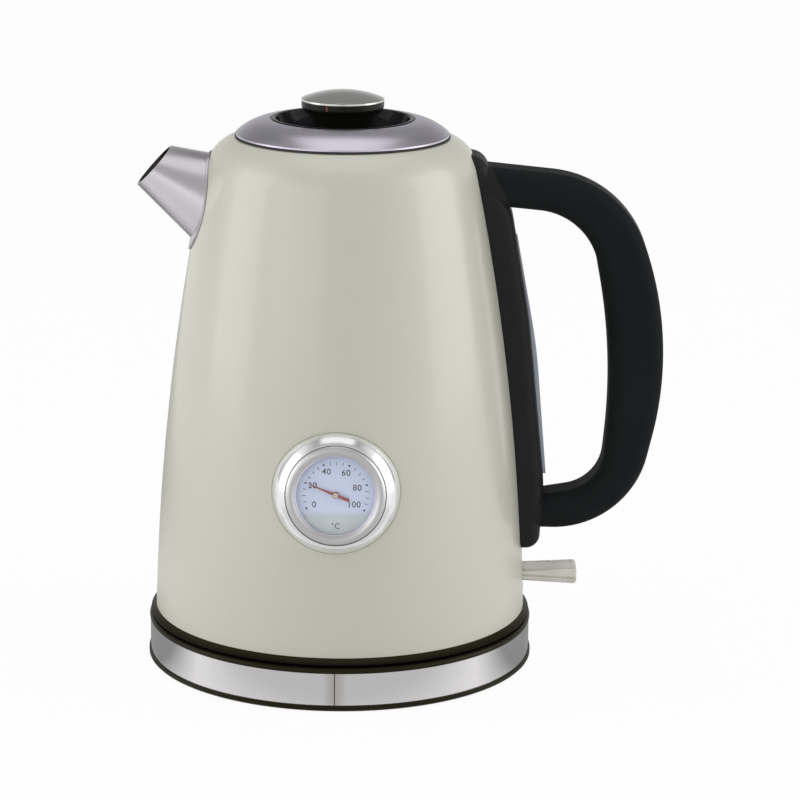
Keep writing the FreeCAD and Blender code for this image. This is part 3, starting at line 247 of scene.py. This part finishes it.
# Painted shadow: the colours of the thin dark lines where the bezel and the spout's collar meet the body
BEZEL_SHADOW_OLIVE = moulded("bezel_shadow_olive", rgb(0.31, 0.3, 0.23), rgb(0.35, 0.34, 0.26),
                     grain=2400.0, smooth=0.5, rough=0.6, bump=0.05)
COLLAR_SHADOW_DARK = moulded("collar_shadow_dark", rgb(0.05, 0.046, 0.042), rgb(0.07, 0.065, 0.06),
                    grain=2400.0, smooth=0.5, rough=0.6, bump=0.05)
RUBBER = moulded("rubber", rgb(0.02, 0.02, 0.019), rgb(0.035, 0.034, 0.032),
                 grain=3200.0, smooth=0.62, rough=0.8, bump=0.2)
BAND_STEEL = brushed("band_steel", rgb(0.7, 0.685, 0.695), rgb(0.76, 0.745, 0.755),
                     lines=7000.0, smooth=0.14, rough=0.2, smudge=0.02, bump=0.01, Anisotropic=0.75,
                     Anisotropic_Rotation=0.25)
DOME_STEEL = brushed("dome_steel", rgb(0.6, 0.57, 0.65), rgb(0.63, 0.6, 0.68),
                     lines=9000.0, smooth=0.28, rough=0.33, smudge=0.02, bump=0.008)
CAP_STEEL = brushed("cap_steel", rgb(0.62, 0.62, 0.6), rgb(0.67, 0.67, 0.65),
                    lines=9000.0, smooth=0.18, rough=0.24, smudge=0.02, bump=0.008)
# Painted shade: a dark steel tone for the skin laid inside the spout
SPOUT_SHADE_STEEL = brushed("spout_shade_steel", rgb(0.15, 0.143, 0.146), rgb(0.2, 0.19, 0.195),
                       lines=3600.0, smooth=0.35, rough=0.5, bump=0.05)
SATIN_STEEL = brushed("satin_steel", rgb(0.605, 0.572, 0.605), rgb(0.665, 0.63, 0.665),
                      lines=4200.0, smooth=0.3, rough=0.36, smudge=0.01, bump=0.03, Anisotropic=0.5,
                      Anisotropic_Rotation=0.25)
CASE_STEEL = brushed("case_steel", rgb(0.62, 0.61, 0.61), rgb(0.67, 0.66, 0.66),
                     lines=4200.0, smooth=0.34, rough=0.44, bump=0.03)
BEAD_STEEL = brushed("bead_steel", rgb(0.68, 0.67, 0.8), rgb(0.72, 0.71, 0.84),
                     lines=4200.0, smooth=0.29, rough=0.34, bump=0.02)
VESSEL_STEEL = brushed("vessel_steel", rgb(0.56, 0.55, 0.54), rgb(0.63, 0.62, 0.61),
                       lines=3600.0, smooth=0.28, rough=0.42, bump=0.05)
SCREW_STEEL = brushed("screw_steel", rgb(0.42, 0.42, 0.43), rgb(0.55, 0.55, 0.56),
                      lines=6000.0, smooth=0.29, rough=0.4, bump=0.05)
CHROME = moulded("chrome", rgb(0.88, 0.88, 0.89), rgb(0.85, 0.85, 0.86),
                 grain=260.0, smooth=0.13, rough=0.18, bump=0.006, Metallic=0.7)
BRASS = moulded("brass", rgb(0.72, 0.5, 0.2), rgb(0.6, 0.4, 0.16),
                grain=900.0, smooth=0.29, rough=0.38, bump=0.05, Metallic=1.0)
ALUMINIUM = moulded("aluminium", rgb(0.72, 0.72, 0.73), rgb(0.64, 0.64, 0.65),
                    grain=1400.0, smooth=0.35, rough=0.5, bump=0.1, Metallic=1.0)
COPPER_STRIP = moulded("copper_strip", rgb(0.66, 0.38, 0.25), rgb(0.55, 0.3, 0.2),
                       grain=700.0, smooth=0.28, rough=0.42, bump=0.05, Metallic=1.0)
PAPER = moulded("dial_paper", rgb(0.7, 0.765, 0.98), rgb(0.69, 0.755, 0.96),
                grain=1800.0, smooth=0.5, rough=0.62, bump=0.02)
RED = moulded("red_paint", rgb(0.33, 0.024, 0.03), rgb(0.29, 0.019, 0.025),
              grain=1200.0, smooth=0.28, rough=0.4, bump=0.05)
# Painted reflection: the red of a short stroke on the knob's skirt
KNOB_REFLECTION_RED = moulded("knob_reflection_red", rgb(0.16, 0.018, 0.022), rgb(0.13, 0.014, 0.018),
                   grain=1200.0, smooth=0.4, rough=0.5, bump=0.05)
INK = moulded("dial_ink", rgb(0.03, 0.03, 0.032), rgb(0.05, 0.05, 0.052),
              grain=2200.0, smooth=0.45, rough=0.6, bump=0.04)
FAINT_INK = moulded("faint_ink", rgb(0.06, 0.066, 0.09), rgb(0.08, 0.086, 0.11),
                    grain=2200.0, smooth=0.45, rough=0.6, bump=0.04)
PALE_HUB = moulded("pale_hub", rgb(0.66, 0.62, 0.5), rgb(0.6, 0.56, 0.45),
                   grain=1200.0, smooth=0.29, rough=0.36, bump=0.05)
LAMP_AMBER = moulded("lamp_amber", rgb(0.8, 0.35, 0.08), rgb(0.7, 0.28, 0.06),
                     grain=900.0, smooth=0.12, rough=0.2, bump=0.02, Transmission_Weight=0.6, IOR=1.5)
GLASS = moulded("dial_glass", rgb(0.97, 0.98, 0.98), rgb(0.94, 0.96, 0.96),
                grain=300.0, smooth=0.0, rough=0.03, bump=0.004, Transmission_Weight=1.0, IOR=1.48)
CLEAR = moulded("clear_lever", rgb(0.8, 0.795, 0.75), rgb(0.58, 0.53, 0.45),
                grain=240.0, smooth=0.1, rough=0.2, cloud=90.0, bump=0.02, Transmission_Weight=0.6,
                IOR=1.49)
WINDOW = moulded("water_window", rgb(0.49, 0.53, 0.6), rgb(0.44, 0.48, 0.545),
                 grain=700.0, smooth=0.29, rough=0.36, bump=0.008, Transmission_Weight=0.4, IOR=1.49)

DRESS = {
    CREAM: "body_shell",
    SPINE_BLACK: "handle_spine",
    GRIP_BLACK: "handle_grip",
    DARK_BLACK: "base_lower_housing base_upper_housing base_socket bottom_cover kettle_connector "
                "control_unit lid_inner_cover socket_shutter steam_tube",
    RING_BLACK: "kettle_base_ring",
    DISH_BLACK: "lid_dish",
    KNOB_BLACK: "lid_knob",
    RUBBER: "base_feet lid_seal window_seal probe_seal cord_gland",
    BAND_STEEL: "base_trim_band",
    DOME_STEEL: "lid_dome",
    CAP_STEEL: "knob_cap",
    SATIN_STEEL: "spout",
    CASE_STEEL: "dial_case",
    VESSEL_STEEL: "vessel_floor spout_strainer dial_probe probe_nut",
    SCREW_STEEL: "base_screws bottom_screws handle_screws lid_screw",
    CHROME: "dial_bezel",
    BRASS: "socket_contacts connector_pins pointer_shaft",
    ALUMINIUM: "heat_plate heating_element",
    COPPER_STRIP: "control_bimetals steam_bimetal element_terminals",
    PAPER: "dial_face",
    RED: "dial_pointer",
    LAMP_AMBER: "indicator_lamp",
    GLASS: "dial_glass",
    CLEAR: "switch_lever",
    WINDOW: "water_window",
}


def dress_nodes():
    for material, names in DRESS.items():
        for name in names.split():
            for slot in nodes[name].material_slots:
                slot.material = material


# Pieces

def piece(name, mesh, material, body):
    made = bpy.data.objects.new(name, mesh)
    bpy.context.collection.objects.link(made)
    made.data.materials.append(material)
    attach(made, body)


def sheet_mesh(name, outlines):
    """A mesh of flat faces, one for each outline of places."""
    places = []
    faces = []
    for outline in outlines:
        faces.append(range(len(places), len(places) + len(outline)))
        places.extend(outline)
    mesh = bpy.data.meshes.new(name)
    mesh.from_pydata(places, [], faces)
    return mesh


# Dial print, laid on the face along the dial's own axes. Angles are in degrees.

SCALE = {"0": 205.5, "20": 158.8, "40": 112.3, "60": 65.4, "80": 18.3, "100": -28.7}
NUMBER_CIRCLES = {"0": 9.7, "20": 10.1, "40": 10.1, "60": 9.8, "80": 9.1, "100": 8.4}
DOT_CIRCLE = 13.1 * MM
DOT_RADIUS = 0.45 * MM
DOT_STEPS = 24
TICK_CIRCLE = 12.8 * MM
TICK_LENGTH = 1.4 * MM
TICK_WIDTH = 0.26 * MM
TICKS_BETWEEN = 3
NUMBER_HEIGHT = 2.5 * MM
LETTER_SIZE = 1.4
LETTER_SPACE = 1.08
STROKE_SWELL = 0.035 * MM
UNIT_DROP = 13.0 * MM
UNIT_HEIGHT = NUMBER_HEIGHT * 0.95
UNIT_SWELL = STROKE_SWELL * 0.5
INK_LIFT = 0.03 * MM
HUB_RADIUS = 1.05 * MM
HUB_HEIGHT = 0.35 * MM
HUB_PROFILE = ((1.0, 0.0), (1.0, 0.6), (0.8, 1.0), (0.45, 1.0), (0.35, 0.5))
HUB_HOLE = 0.01 * MM
HUB_STEPS = 36
TINT_DROP = 7.4 * MM
TINT_SOFT = 1.2 * MM
TINT_GREY = rgb(0.62, 0.67, 0.71)

pointer_joint = joints["pointer_turn"]
dial_centre = Vector(pointer_joint["pos_m"])
dial_out = -Vector(pointer_joint["axis"]).normalized()
dial_right = Vector((1.0, 0.0, 0.0))
dial_up = dial_out.cross(dial_right)
dial_axes = Matrix((dial_right, dial_up, dial_out)).transposed().to_4x4()


def dial_level(name):
    """How far a node reaches along the dial's axis."""
    return max((corner.co - dial_centre).dot(dial_out) for corner in nodes[name].data.vertices)


face_level = dial_level("dial_face")


def on_dial(across, up):
    """A place just above the dial's face."""
    return dial_centre + dial_right * across + dial_up * up + dial_out * (face_level + INK_LIFT)


def at_angle(angle, radius):
    """The two distances from a centre, for an angle in degrees."""
    turned = math.radians(angle)
    return math.cos(turned) * radius, math.sin(turned) * radius


def dot_outline(angle):
    across, up = at_angle(angle, DOT_CIRCLE)
    outline = []
    for step in range(DOT_STEPS):
        aside, above = at_angle(360.0 * step / DOT_STEPS, DOT_RADIUS)
        outline.append(on_dial(across + aside, up + above))
    return outline


def tick_outline(angle):
    turned = math.radians(angle)
    outline = []
    for along, side in ((-0.5, -0.5), (0.5, -0.5), (0.5, 0.5), (-0.5, 0.5)):
        radius = TICK_CIRCLE + along * TICK_LENGTH
        shift = side * TICK_WIDTH
        outline.append(on_dial(math.cos(turned) * radius - math.sin(turned) * shift,
                               math.sin(turned) * radius + math.cos(turned) * shift))
    return outline


def dial_marks():
    angles = list(SCALE.values())
    dots = [dot_outline(angle) for angle in angles]
    ticks = []
    for first, last in zip(angles, angles[1:]):
        for step in range(1, TICKS_BETWEEN + 1):
            ticks.append(tick_outline(first + (last - first) * step / (TICKS_BETWEEN + 1)))
    piece("dial_dots", sheet_mesh("dial_dots", dots), INK, "kettle")
    piece("dial_ticks", sheet_mesh("dial_ticks", ticks), FAINT_INK, "kettle")


def printed_word(name, text, across, up, height, swell):
    """A word as a flat mesh on the dial's face, centred on a place."""
    line = bpy.data.curves.new(name, "FONT")
    line.body = text
    line.size = height * LETTER_SIZE
    line.space_character = LETTER_SPACE
    line.offset = swell
    line.align_x = "CENTER"
    line.align_y = "CENTER"
    holder = bpy.data.objects.new(name, line)
    mesh = bpy.data.meshes.new_from_object(holder)
    bpy.data.objects.remove(holder)
    mesh.transform(Matrix.Translation(on_dial(across, up)) @ dial_axes)
    piece(name, mesh, INK, "kettle")


def dial_print():
    dial_marks()
    for text, angle in SCALE.items():
        place = at_angle(angle, NUMBER_CIRCLES[text] * MM)
        printed_word("dial_number_" + text, text, *place, NUMBER_HEIGHT, STROKE_SWELL)
    printed_word("dial_unit", "\u00b0C", 0.0, -UNIT_DROP, UNIT_HEIGHT, UNIT_SWELL)


def tint_dial():
    """The face turns from a cool blue to a warm grey below the scale."""
    tree = PAPER.node_tree
    edge = dial_centre.z - TINT_DROP
    share = ramp(tree, place_parts(tree)[2], edge - TINT_SOFT, edge + TINT_SOFT, 0.0, 1.0)
    retone(PAPER, share, {"Tone": TINT_GREY, "Worn": TINT_GREY})


def turned_mesh(name, profile, steps):
    """A ring of faces: a profile of radius and height turned about the vertical."""
    places = []
    faces = []
    for step in range(steps):
        angle = math.tau * step / steps
        for radius, height in profile:
            places.append((radius * math.cos(angle), radius * math.sin(angle), height))
    count = len(profile)
    for step in range(steps):
        here = step * count
        there = (step + 1) % steps * count
        for index in range(count - 1):
            faces.append((here + index, there + index, there + index + 1, here + index + 1))
    mesh = bpy.data.meshes.new(name)
    mesh.from_pydata(places, [], faces)
    mesh.shade_smooth()
    return mesh


def dial_hub():
    """The pale cap on the pointer's middle."""
    profile = [(HUB_RADIUS * across, HUB_HEIGHT * up) for across, up in HUB_PROFILE]
    profile.append((HUB_HOLE, profile[-1][1]))
    mesh = turned_mesh("pointer_hub", profile, HUB_STEPS)
    pointer_top = dial_centre + dial_out * dial_level("dial_pointer")
    mesh.transform(Matrix.Translation(pointer_top) @ dial_axes)
    piece("pointer_hub", mesh, PALE_HUB, "dial_pointer")


# Thin rings and a mark on the dial, the body and the lid, some of them painted light: dark lines of painted
# shadow where the bezel and the spout's collar meet the body, a black ring of painted shadow under the lid's
# edge, a rim bead painted lighter as a highlight, and a red stroke of painted reflection on the knob. A ring
# is a radius, a height and a thickness.

RING_STEPS = 144
BEAD_SIDES = 16
CASE_BEAD = (16.25 * MM, 5.1 * MM, 0.3 * MM)
DISH_BEAD = (28.35 * MM, 232.6 * MM, 0.22 * MM)
# Painted shadow: a thin black ring under the lid's edge, where the gap between lid and body is in shade
LID_GAP_SHADOW = (44.5 * MM, 225.25 * MM, 0.42 * MM)
# The painted red reflection on the knob: its turn, half width, steps, radius, and low and high edges
REFLECTION_TURN = 249.0
REFLECTION_HALF_TURN = 1.4
REFLECTION_STEPS = 6
REFLECTION_RADIUS = 17.26 * MM
REFLECTION_LOW = 237.8 * MM
REFLECTION_HIGH = 240.1 * MM
BEZEL_SEARCH = 28.0 * MM
COLLAR_SEARCH = 26.0 * MM
COLLAR_MIDDLE = Vector((0.0, 0.0, 195.7 * MM))
# Painted shadow lines: how they are found on the wall, and their thickness and steps
SHADOW_LINE_NEAR = 0.05 * MM
SHADOW_LINE_PITCH = 0.03 * MM
SHADOW_LINE_REACH = 120.0 * MM
SHADOW_LINE_THICK = 0.17 * MM
SHADOW_LINE_TRIES = 800
SHADOW_LINE_STEPS = 120
SHADOW_LINE_SIDES = 8


def ring_mesh(name, radius, height, thick):
    """A round bead that runs in a circle about the vertical."""
    profile = []
    for step in range(BEAD_SIDES + 1):
        angle = math.tau * step / BEAD_SIDES
        profile.append((radius + thick * math.cos(angle), height + thick * math.sin(angle)))
    return turned_mesh(name, profile, RING_STEPS)


def case_bead():
    mesh = ring_mesh("case_bead", *CASE_BEAD)
    mesh.transform(Matrix.Translation(dial_centre) @ dial_axes)
    piece("case_bead", mesh, BEAD_STEEL, "kettle")


def surface_tree(name):
    """A node's faces, ready to be searched."""
    mesh = nodes[name].data
    corners = [corner.co for corner in mesh.vertices]
    return BVHTree.FromPolygons(corners, [face.vertices for face in mesh.polygons])


def shadow_line_centre(wall, rim, start, inward, back):
    """The first place on the wall, going inwards from a start, that a rim comes close to."""
    closest = None
    least = SHADOW_LINE_REACH
    for _ in range(SHADOW_LINE_TRIES):
        on_wall = wall.ray_cast(start - back * SHADOW_LINE_REACH, back)[0]
        gap = SHADOW_LINE_REACH if on_wall is None else rim.find_nearest(on_wall)[3]
        if gap < least:
            closest = on_wall
            least = gap
        if least <= SHADOW_LINE_NEAR:
            break
        start = start + inward * SHADOW_LINE_PITCH
    return closest


def painted_shadow_line(name, rim_name, middle, right, up, search, material):
    """A thin dark line that follows the wall all round a rim: painted shadow where the rim meets the wall.
    """
    wall = surface_tree("body_shell")
    rim = surface_tree(rim_name)
    out = right.cross(up)
    places = []
    faces = []
    for step in range(SHADOW_LINE_STEPS):
        across, along = at_angle(360.0 * step / SHADOW_LINE_STEPS, 1.0)
        outward = right * across + up * along
        centre = shadow_line_centre(wall, rim, middle + outward * search, -outward, -out)
        here = step * SHADOW_LINE_SIDES
        there = (step + 1) % SHADOW_LINE_STEPS * SHADOW_LINE_SIDES
        for side in range(SHADOW_LINE_SIDES):
            turned = math.tau * side / SHADOW_LINE_SIDES
            after = (side + 1) % SHADOW_LINE_SIDES
            places.append(centre + SHADOW_LINE_THICK * (outward * math.cos(turned) + out * math.sin(turned)))
            faces.append((here + side, there + side, there + after, here + after))
    mesh = bpy.data.meshes.new(name)
    mesh.from_pydata(places, [], faces)
    mesh.shade_smooth()
    piece(name, mesh, material, "kettle")


def painted_shadow_lines():
    level = Vector((0.0, -1.0, 0.0))
    upright = Vector((0.0, 0.0, 1.0))
    # Painted shadow: dark lines laid where the dial's bezel and the spout's collar meet the body
    painted_shadow_line("bezel_shadow_line", "dial_bezel", dial_centre, dial_right, dial_up, BEZEL_SEARCH, BEZEL_SHADOW_OLIVE)
    painted_shadow_line("collar_shadow_line", "spout", COLLAR_MIDDLE, level, upright, COLLAR_SEARCH, COLLAR_SHADOW_DARK)


def lid_rings():
    # The rim bead is real; its lighter grey is a painted highlight
    piece("dish_bead", ring_mesh("dish_bead", *DISH_BEAD), DISH_RIM_HIGHLIGHT_GREY, "lid")
    # Painted shadow: a black ring in the rubber finish stands for the shade in the gap under the lid's edge
    piece("lid_gap_shadow", ring_mesh("lid_gap_shadow", *LID_GAP_SHADOW), RUBBER, "lid")


def knob_red_reflection():
    """A short red stroke on the skirt of the knob: a painted reflection."""
    low = []
    high = []
    for step in range(REFLECTION_STEPS + 1):
        across, along = at_angle(REFLECTION_TURN + REFLECTION_HALF_TURN * (2 * step / REFLECTION_STEPS - 1), REFLECTION_RADIUS)
        low.append((across, along, REFLECTION_LOW))
        high.append((across, along, REFLECTION_HIGH))
    outlines = [(low[step], low[step + 1], high[step + 1], high[step]) for step in range(REFLECTION_STEPS)]
    piece("knob_red_reflection", sheet_mesh("knob_red_reflection", outlines), KNOB_REFLECTION_RED, "lid")


# Painted shade inside the spout: a dark skin over the faces inside the spout, standing for the shade there

SHADE_SKIN_LIFT = 0.06 * MM
SHADE_SKIN_CLEAR = 0.5 * MM


def spout_shade_skin():
    shape = bmesh.new()
    shape.from_mesh(nodes["spout"].data)
    tree = BVHTree.FromBMesh(shape)
    outside = []
    for face in shape.faces:
        start = face.calc_center_median() + face.normal * SHADE_SKIN_CLEAR
        if tree.ray_cast(start, face.normal)[0] is None:
            outside.append(face)
    bmesh.ops.delete(shape, geom=outside, context="FACES")
    shape.normal_update()
    for corner in shape.verts:
        corner.co += corner.normal * SHADE_SKIN_LIFT
    mesh = bpy.data.meshes.new("spout_shade_skin")
    shape.to_mesh(mesh)
    shape.free()
    mesh.materials.clear()
    # The dark skin paints the shade inside the spout
    piece("spout_shade_skin", mesh, SPOUT_SHADE_STEEL, "kettle")


# Tones that change over one piece, among them a painted shadow on the foot ring, and light through the clear
# ones

INSIDE_TURN = 1.0 * MM
INSIDE_FULL = 4.0 * MM
INSIDE_STEEL = {"Tone": rgb(0.56, 0.55, 0.54), "Worn": rgb(0.62, 0.61, 0.6)}
ENAMEL_COAT = 0.35
ROOT_LIFT = 1.3
# The spine's outer edge: a height, and how far out it is there
SPINE_LOW = (78.5 * MM, 85.4 * MM)
SPINE_BEND = (198.5 * MM, 69.9 * MM)
SPINE_TOP = (216.9 * MM, 60.4 * MM)
ROOT_INSIDE = -0.3 * MM
ROOT_OUTSIDE = 0.5 * MM
# Painted shadow on the foot ring: where it starts and ends above the ring's lowest point, and its colour
RING_SHADOW_START = 0.3 * MM
RING_SHADOW_END = 1.9 * MM
RING_PAINTED_SHADOW = rgb(0.002, 0.0015, 0.0007)
SEAM_DARK = 0.5 * MM
SEAM_CLEAN = 5.0 * MM
SEAM_TONE = rgb(0.53, 0.52, 0.485)


def let_light_in(material):
    """Lamps shine straight through, as through thin clear plastic."""
    tree = material.node_tree
    shader = tree.nodes["Principled BSDF"].outputs[0]
    shadow = add(tree, "LightPath").outputs["Is Shadow Ray"]
    through = add(tree, "BsdfTransparent").outputs[0]
    mixed = add(tree, "MixShader", {0: shadow, 1: shader, 2: through}).outputs[0]
    tree.links.new(mixed, tree.nodes["Material Output"].inputs["Surface"])


def bare_inside():
    """The body's inner wall, which faces the kettle's axis, is bare steel and not enamel."""
    tree = CREAM.node_tree
    shader = tree.nodes["Principled BSDF"]
    spot = add(tree, "TexCoord").outputs
    parts = add(tree, "SeparateXYZ", {0: spot["Object"]}).outputs
    normal = add(tree, "SeparateXYZ", {0: spot["Normal"]}).outputs
    outward = maths(tree, "ADD", maths(tree, "MULTIPLY", parts[0], normal[0]),
                    maths(tree, "MULTIPLY", parts[1], normal[1]))
    enamel = ramp(tree, outward, -INSIDE_FULL, -INSIDE_TURN, 0.0, 1.0)
    retone(CREAM, enamel, INSIDE_STEEL)
    tree.links.new(maths(tree, "SUBTRACT", 1.0, enamel), shader.inputs["Metallic"])
    tree.links.new(maths(tree, "MULTIPLY", enamel, ENAMEL_COAT), shader.inputs["Coat Weight"])


def match_roots():
    """The grip takes the spine's tone where its ends run into the spine."""
    tree = GRIP_BLACK.node_tree
    parts = place_parts(tree)
    lower = ramp(tree, parts[2], SPINE_LOW[0], SPINE_BEND[0], SPINE_LOW[1], SPINE_BEND[1])
    upper = ramp(tree, parts[2], SPINE_BEND[0], SPINE_TOP[0], 0.0, SPINE_TOP[1] - SPINE_BEND[1])
    past_edge = maths(tree, "SUBTRACT", parts[0], maths(tree, "ADD", lower, upper))
    share = ramp(tree, past_edge, ROOT_INSIDE, ROOT_OUTSIDE, 0.0, 1.0)
    spine = SPINE_BLACK.node_tree.nodes["Group"].inputs
    tones = {}
    for word in ("Tone", "Worn"):
        tones[word] = tuple(ROOT_LIFT * part for part in spine[word].default_value)
    retone(GRIP_BLACK, share, tones)


def paint_ring_gap_shadow():
    """Painted shadow: the kettle's foot ring turns to a deep black towards the gap above the power base,
    where the gap is in shade.
    """
    tree = RING_BLACK.node_tree
    low = min(corner.co.z for corner in nodes["kettle_base_ring"].data.vertices)
    share = ramp(tree, place_parts(tree)[2], low + RING_SHADOW_START, low + RING_SHADOW_END, 0.0, 1.0)
    retone(RING_BLACK, share, {"Tone": RING_PAINTED_SHADOW, "Worn": RING_PAINTED_SHADOW})


def darken_seam():
    """The band turns darker towards its seam at the front."""
    tree = BAND_STEEL.node_tree
    parts = place_parts(tree)
    side = maths(tree, "ABSOLUTE", parts[0])
    back_half = ramp(tree, parts[1], 0.0, MM, 0.0, 1.0)
    share = ramp(tree, maths(tree, "ADD", side, back_half), SEAM_DARK, SEAM_CLEAN, 0.0, 1.0)
    retone(BAND_STEEL, share, {"Tone": SEAM_TONE, "Streak": SEAM_TONE})


# Stage, light and camera

WHITE = rgb(1.0, 1.0, 1.0)
FLOOR_HALF = 6.0
FLOOR_PAPER = rgb(0.86, 0.86, 0.86)
FLOOR_ROUGH = 0.9
FLOOR_GLOW = 0.95

# The floor's brightness in a gloss: where a change starts and ends, in metres, and the value at each end
FLOOR_NEAR = (-0.1, -0.058, 0.64, 0.98)
FLOOR_BESIDE = (0.14, 0.28, 0.4, 0.98)
FLOOR_BEHIND = (-0.056, -0.022, 0.98, 0.3)
FLOOR_CLEAR = (0.03, 0.12, 0.2, 0.92)
FLOOR_SIDES = (0.11, 0.17, 0.2, 0.95)
FLOOR_DISTANT = (0.02, 0.25, 0.98, 0.25)
FLOOR_WIDE = (0.33, 0.45, 0.25, 0.98)

# The walls in a gloss, in the same way, along the parts of a direction
WALL_SIDES = (0.45, 0.7, 0.0, 1.0)
WALL_SIDES_END = (0.2, 0.5, 1.0, 0.1)
WALL_BEHIND = (0.5, 0.8, 0.0, 0.75)
WALL_BEHIND_TOP = (0.05, 0.4, 1.0, 0.2)
WALL_AHEAD = (-0.6, -0.25, 0.5, 0.0)
WALL_DIM = rgb(0.2, 0.2, 0.2)
WALL_LIT = rgb(0.9, 0.9, 0.9)
WALL_FILL = rgb(0.56, 0.56, 0.56)

# Place, width, height and radiance of each lamp
LAMPS = {
    "left_box": ((-1.4, -0.25, 0.54), 0.9, 1.15, 1.6),
    "right_box": ((1.4, -0.12, 0.54), 1.1, 1.15, 1.9),
    "top_box": ((0.03, 0.12, 1.7), 1.2, 1.5, 0.9),
    "front_box": ((-0.8, -1.3, 0.5), 1.1, 0.7, 1.0),
}

CAMERA_PLACE = (0.0332, -1.30288, 0.444)
CAMERA_SENSOR = 36.0
CAMERA_LENS = 142.3
CAMERA_DIP = 14.3
CAMERA_LEAN = 0.6
CAMERA_TURN = 0.36


def ray_kinds(tree):
    """Which rays see the white ground itself, and which see it in a gloss."""
    rays = add(tree, "LightPath").outputs
    direct = maths(tree, "MAXIMUM", rays["Is Camera Ray"], rays["Is Transmission Ray"])
    return direct, rays["Is Glossy Ray"]


def make_floor():
    signs = ((-1.0, -1.0), (1.0, -1.0), (1.0, 1.0), (-1.0, 1.0))
    mesh = sheet_mesh("floor", [[(FLOOR_HALF * across, FLOOR_HALF * along, 0.0) for across, along in signs]])
    floor = bpy.data.objects.new("floor", mesh)
    bpy.context.collection.objects.link(floor)
    paper = bpy.data.materials.new("floor_paper")
    paper.use_nodes = True
    tree = paper.node_tree
    shader = tree.nodes["Principled BSDF"]
    shader.inputs["Base Color"].default_value = FLOOR_PAPER
    shader.inputs["Roughness"].default_value = FLOOR_ROUGH
    parts = place_parts(tree)
    side = maths(tree, "ABSOLUTE", parts[0])
    near = maths(tree, "MAXIMUM", ramp(tree, parts[1], *FLOOR_NEAR), ramp(tree, side, *FLOOR_BESIDE))
    clear = maths(tree, "MAXIMUM", ramp(tree, parts[1], *FLOOR_CLEAR), ramp(tree, side, *FLOOR_SIDES))
    behind = maths(tree, "MAXIMUM", ramp(tree, parts[1], *FLOOR_BEHIND), clear)
    distant = maths(tree, "MAXIMUM", ramp(tree, parts[1], *FLOOR_DISTANT), ramp(tree, side, *FLOOR_WIDE))
    gloss = maths(tree, "MINIMUM", near, maths(tree, "MINIMUM", behind, distant))
    direct, mirrored = ray_kinds(tree)
    strength = maths(tree, "MAXIMUM", direct, gloss)
    white = add(tree, "Emission", {"Color": WHITE, "Strength": strength}).outputs[0]
    share = maths(tree, "MULTIPLY", maths(tree, "MAXIMUM", direct, mirrored), FLOOR_GLOW)
    mixed = add(tree, "MixShader", {0: share, 1: shader.outputs[0], 2: white}).outputs[0]
    tree.links.new(mixed, tree.nodes["Material Output"].inputs["Surface"])
    mesh.materials.append(paper)


def make_world():
    world = bpy.data.worlds.new("studio")
    bpy.context.scene.world = world
    world.use_nodes = True
    tree = world.node_tree
    walls = tree.nodes["Background"]
    direct, mirrored = ray_kinds(tree)
    way = add(tree, "SeparateXYZ", {0: add(tree, "TexCoord").outputs["Generated"]}).outputs
    aside = maths(tree, "ABSOLUTE", way[0])
    sides = maths(tree, "MULTIPLY", ramp(tree, aside, *WALL_SIDES), ramp(tree, way[1], *WALL_SIDES_END))
    behind = maths(tree, "MULTIPLY", ramp(tree, way[1], *WALL_BEHIND), ramp(tree, way[2], *WALL_BEHIND_TOP))
    ahead = ramp(tree, way[1], *WALL_AHEAD)
    lit = maths(tree, "MAXIMUM", maths(tree, "MAXIMUM", sides, behind), ahead)
    gloss = blend(tree, lit, WALL_DIM, WALL_LIT)
    tree.links.new(blend(tree, mirrored, WALL_FILL, gloss), walls.inputs["Color"])
    white = add(tree, "Background", {"Color": WHITE, "Strength": 1.0}).outputs[0]
    mixed = add(tree, "MixShader", {0: direct, 1: walls.outputs[0], 2: white}).outputs[0]
    tree.links.new(mixed, tree.nodes["World Output"].inputs["Surface"])


def softbox(name, place, target, wide, tall, radiance):
    """A soft rectangular lamp that faces a target."""
    lamp = bpy.data.lights.new(name, "AREA")
    lamp.shape = "RECTANGLE"
    lamp.size = wide
    lamp.size_y = tall
    lamp.energy = radiance * math.pi * wide * tall
    holder = bpy.data.objects.new(name, lamp)
    bpy.context.collection.objects.link(holder)
    holder.location = place
    holder.rotation_euler = (Vector(target) - Vector(place)).to_track_quat("-Z", "Y").to_euler()


def make_lights():
    middle = (cad_box[0] + cad_box[1]) / 2
    for name, (place, wide, tall, radiance) in LAMPS.items():
        softbox(name, place, middle, wide, tall, radiance)


def make_camera():
    data = bpy.data.cameras.new("camera")
    data.sensor_width = CAMERA_SENSOR
    data.lens = CAMERA_LENS
    camera = bpy.data.objects.new("camera", data)
    bpy.context.collection.objects.link(camera)
    turn = Matrix.Rotation(math.radians(CAMERA_TURN), 4, "Z")
    pitch = Matrix.Rotation(math.radians(90.0 - CAMERA_DIP), 4, "X")
    lean = Matrix.Rotation(math.radians(CAMERA_LEAN), 4, "Z")
    camera.matrix_world = Matrix.Translation(CAMERA_PLACE) @ turn @ pitch @ lean
    bpy.context.scene.camera = camera


dress_nodes()
dial_print()
dial_hub()
tint_dial()
case_bead()
painted_shadow_lines()
lid_rings()
knob_red_reflection()
spout_shade_skin()
bare_inside()
match_roots()
darken_seam()
paint_ring_gap_shadow()
for material in (GLASS, CLEAR):
    let_light_in(material)
make_floor()
make_world()
make_lights()
make_camera()
bpy.context.scene.view_settings.view_transform = "Standard"
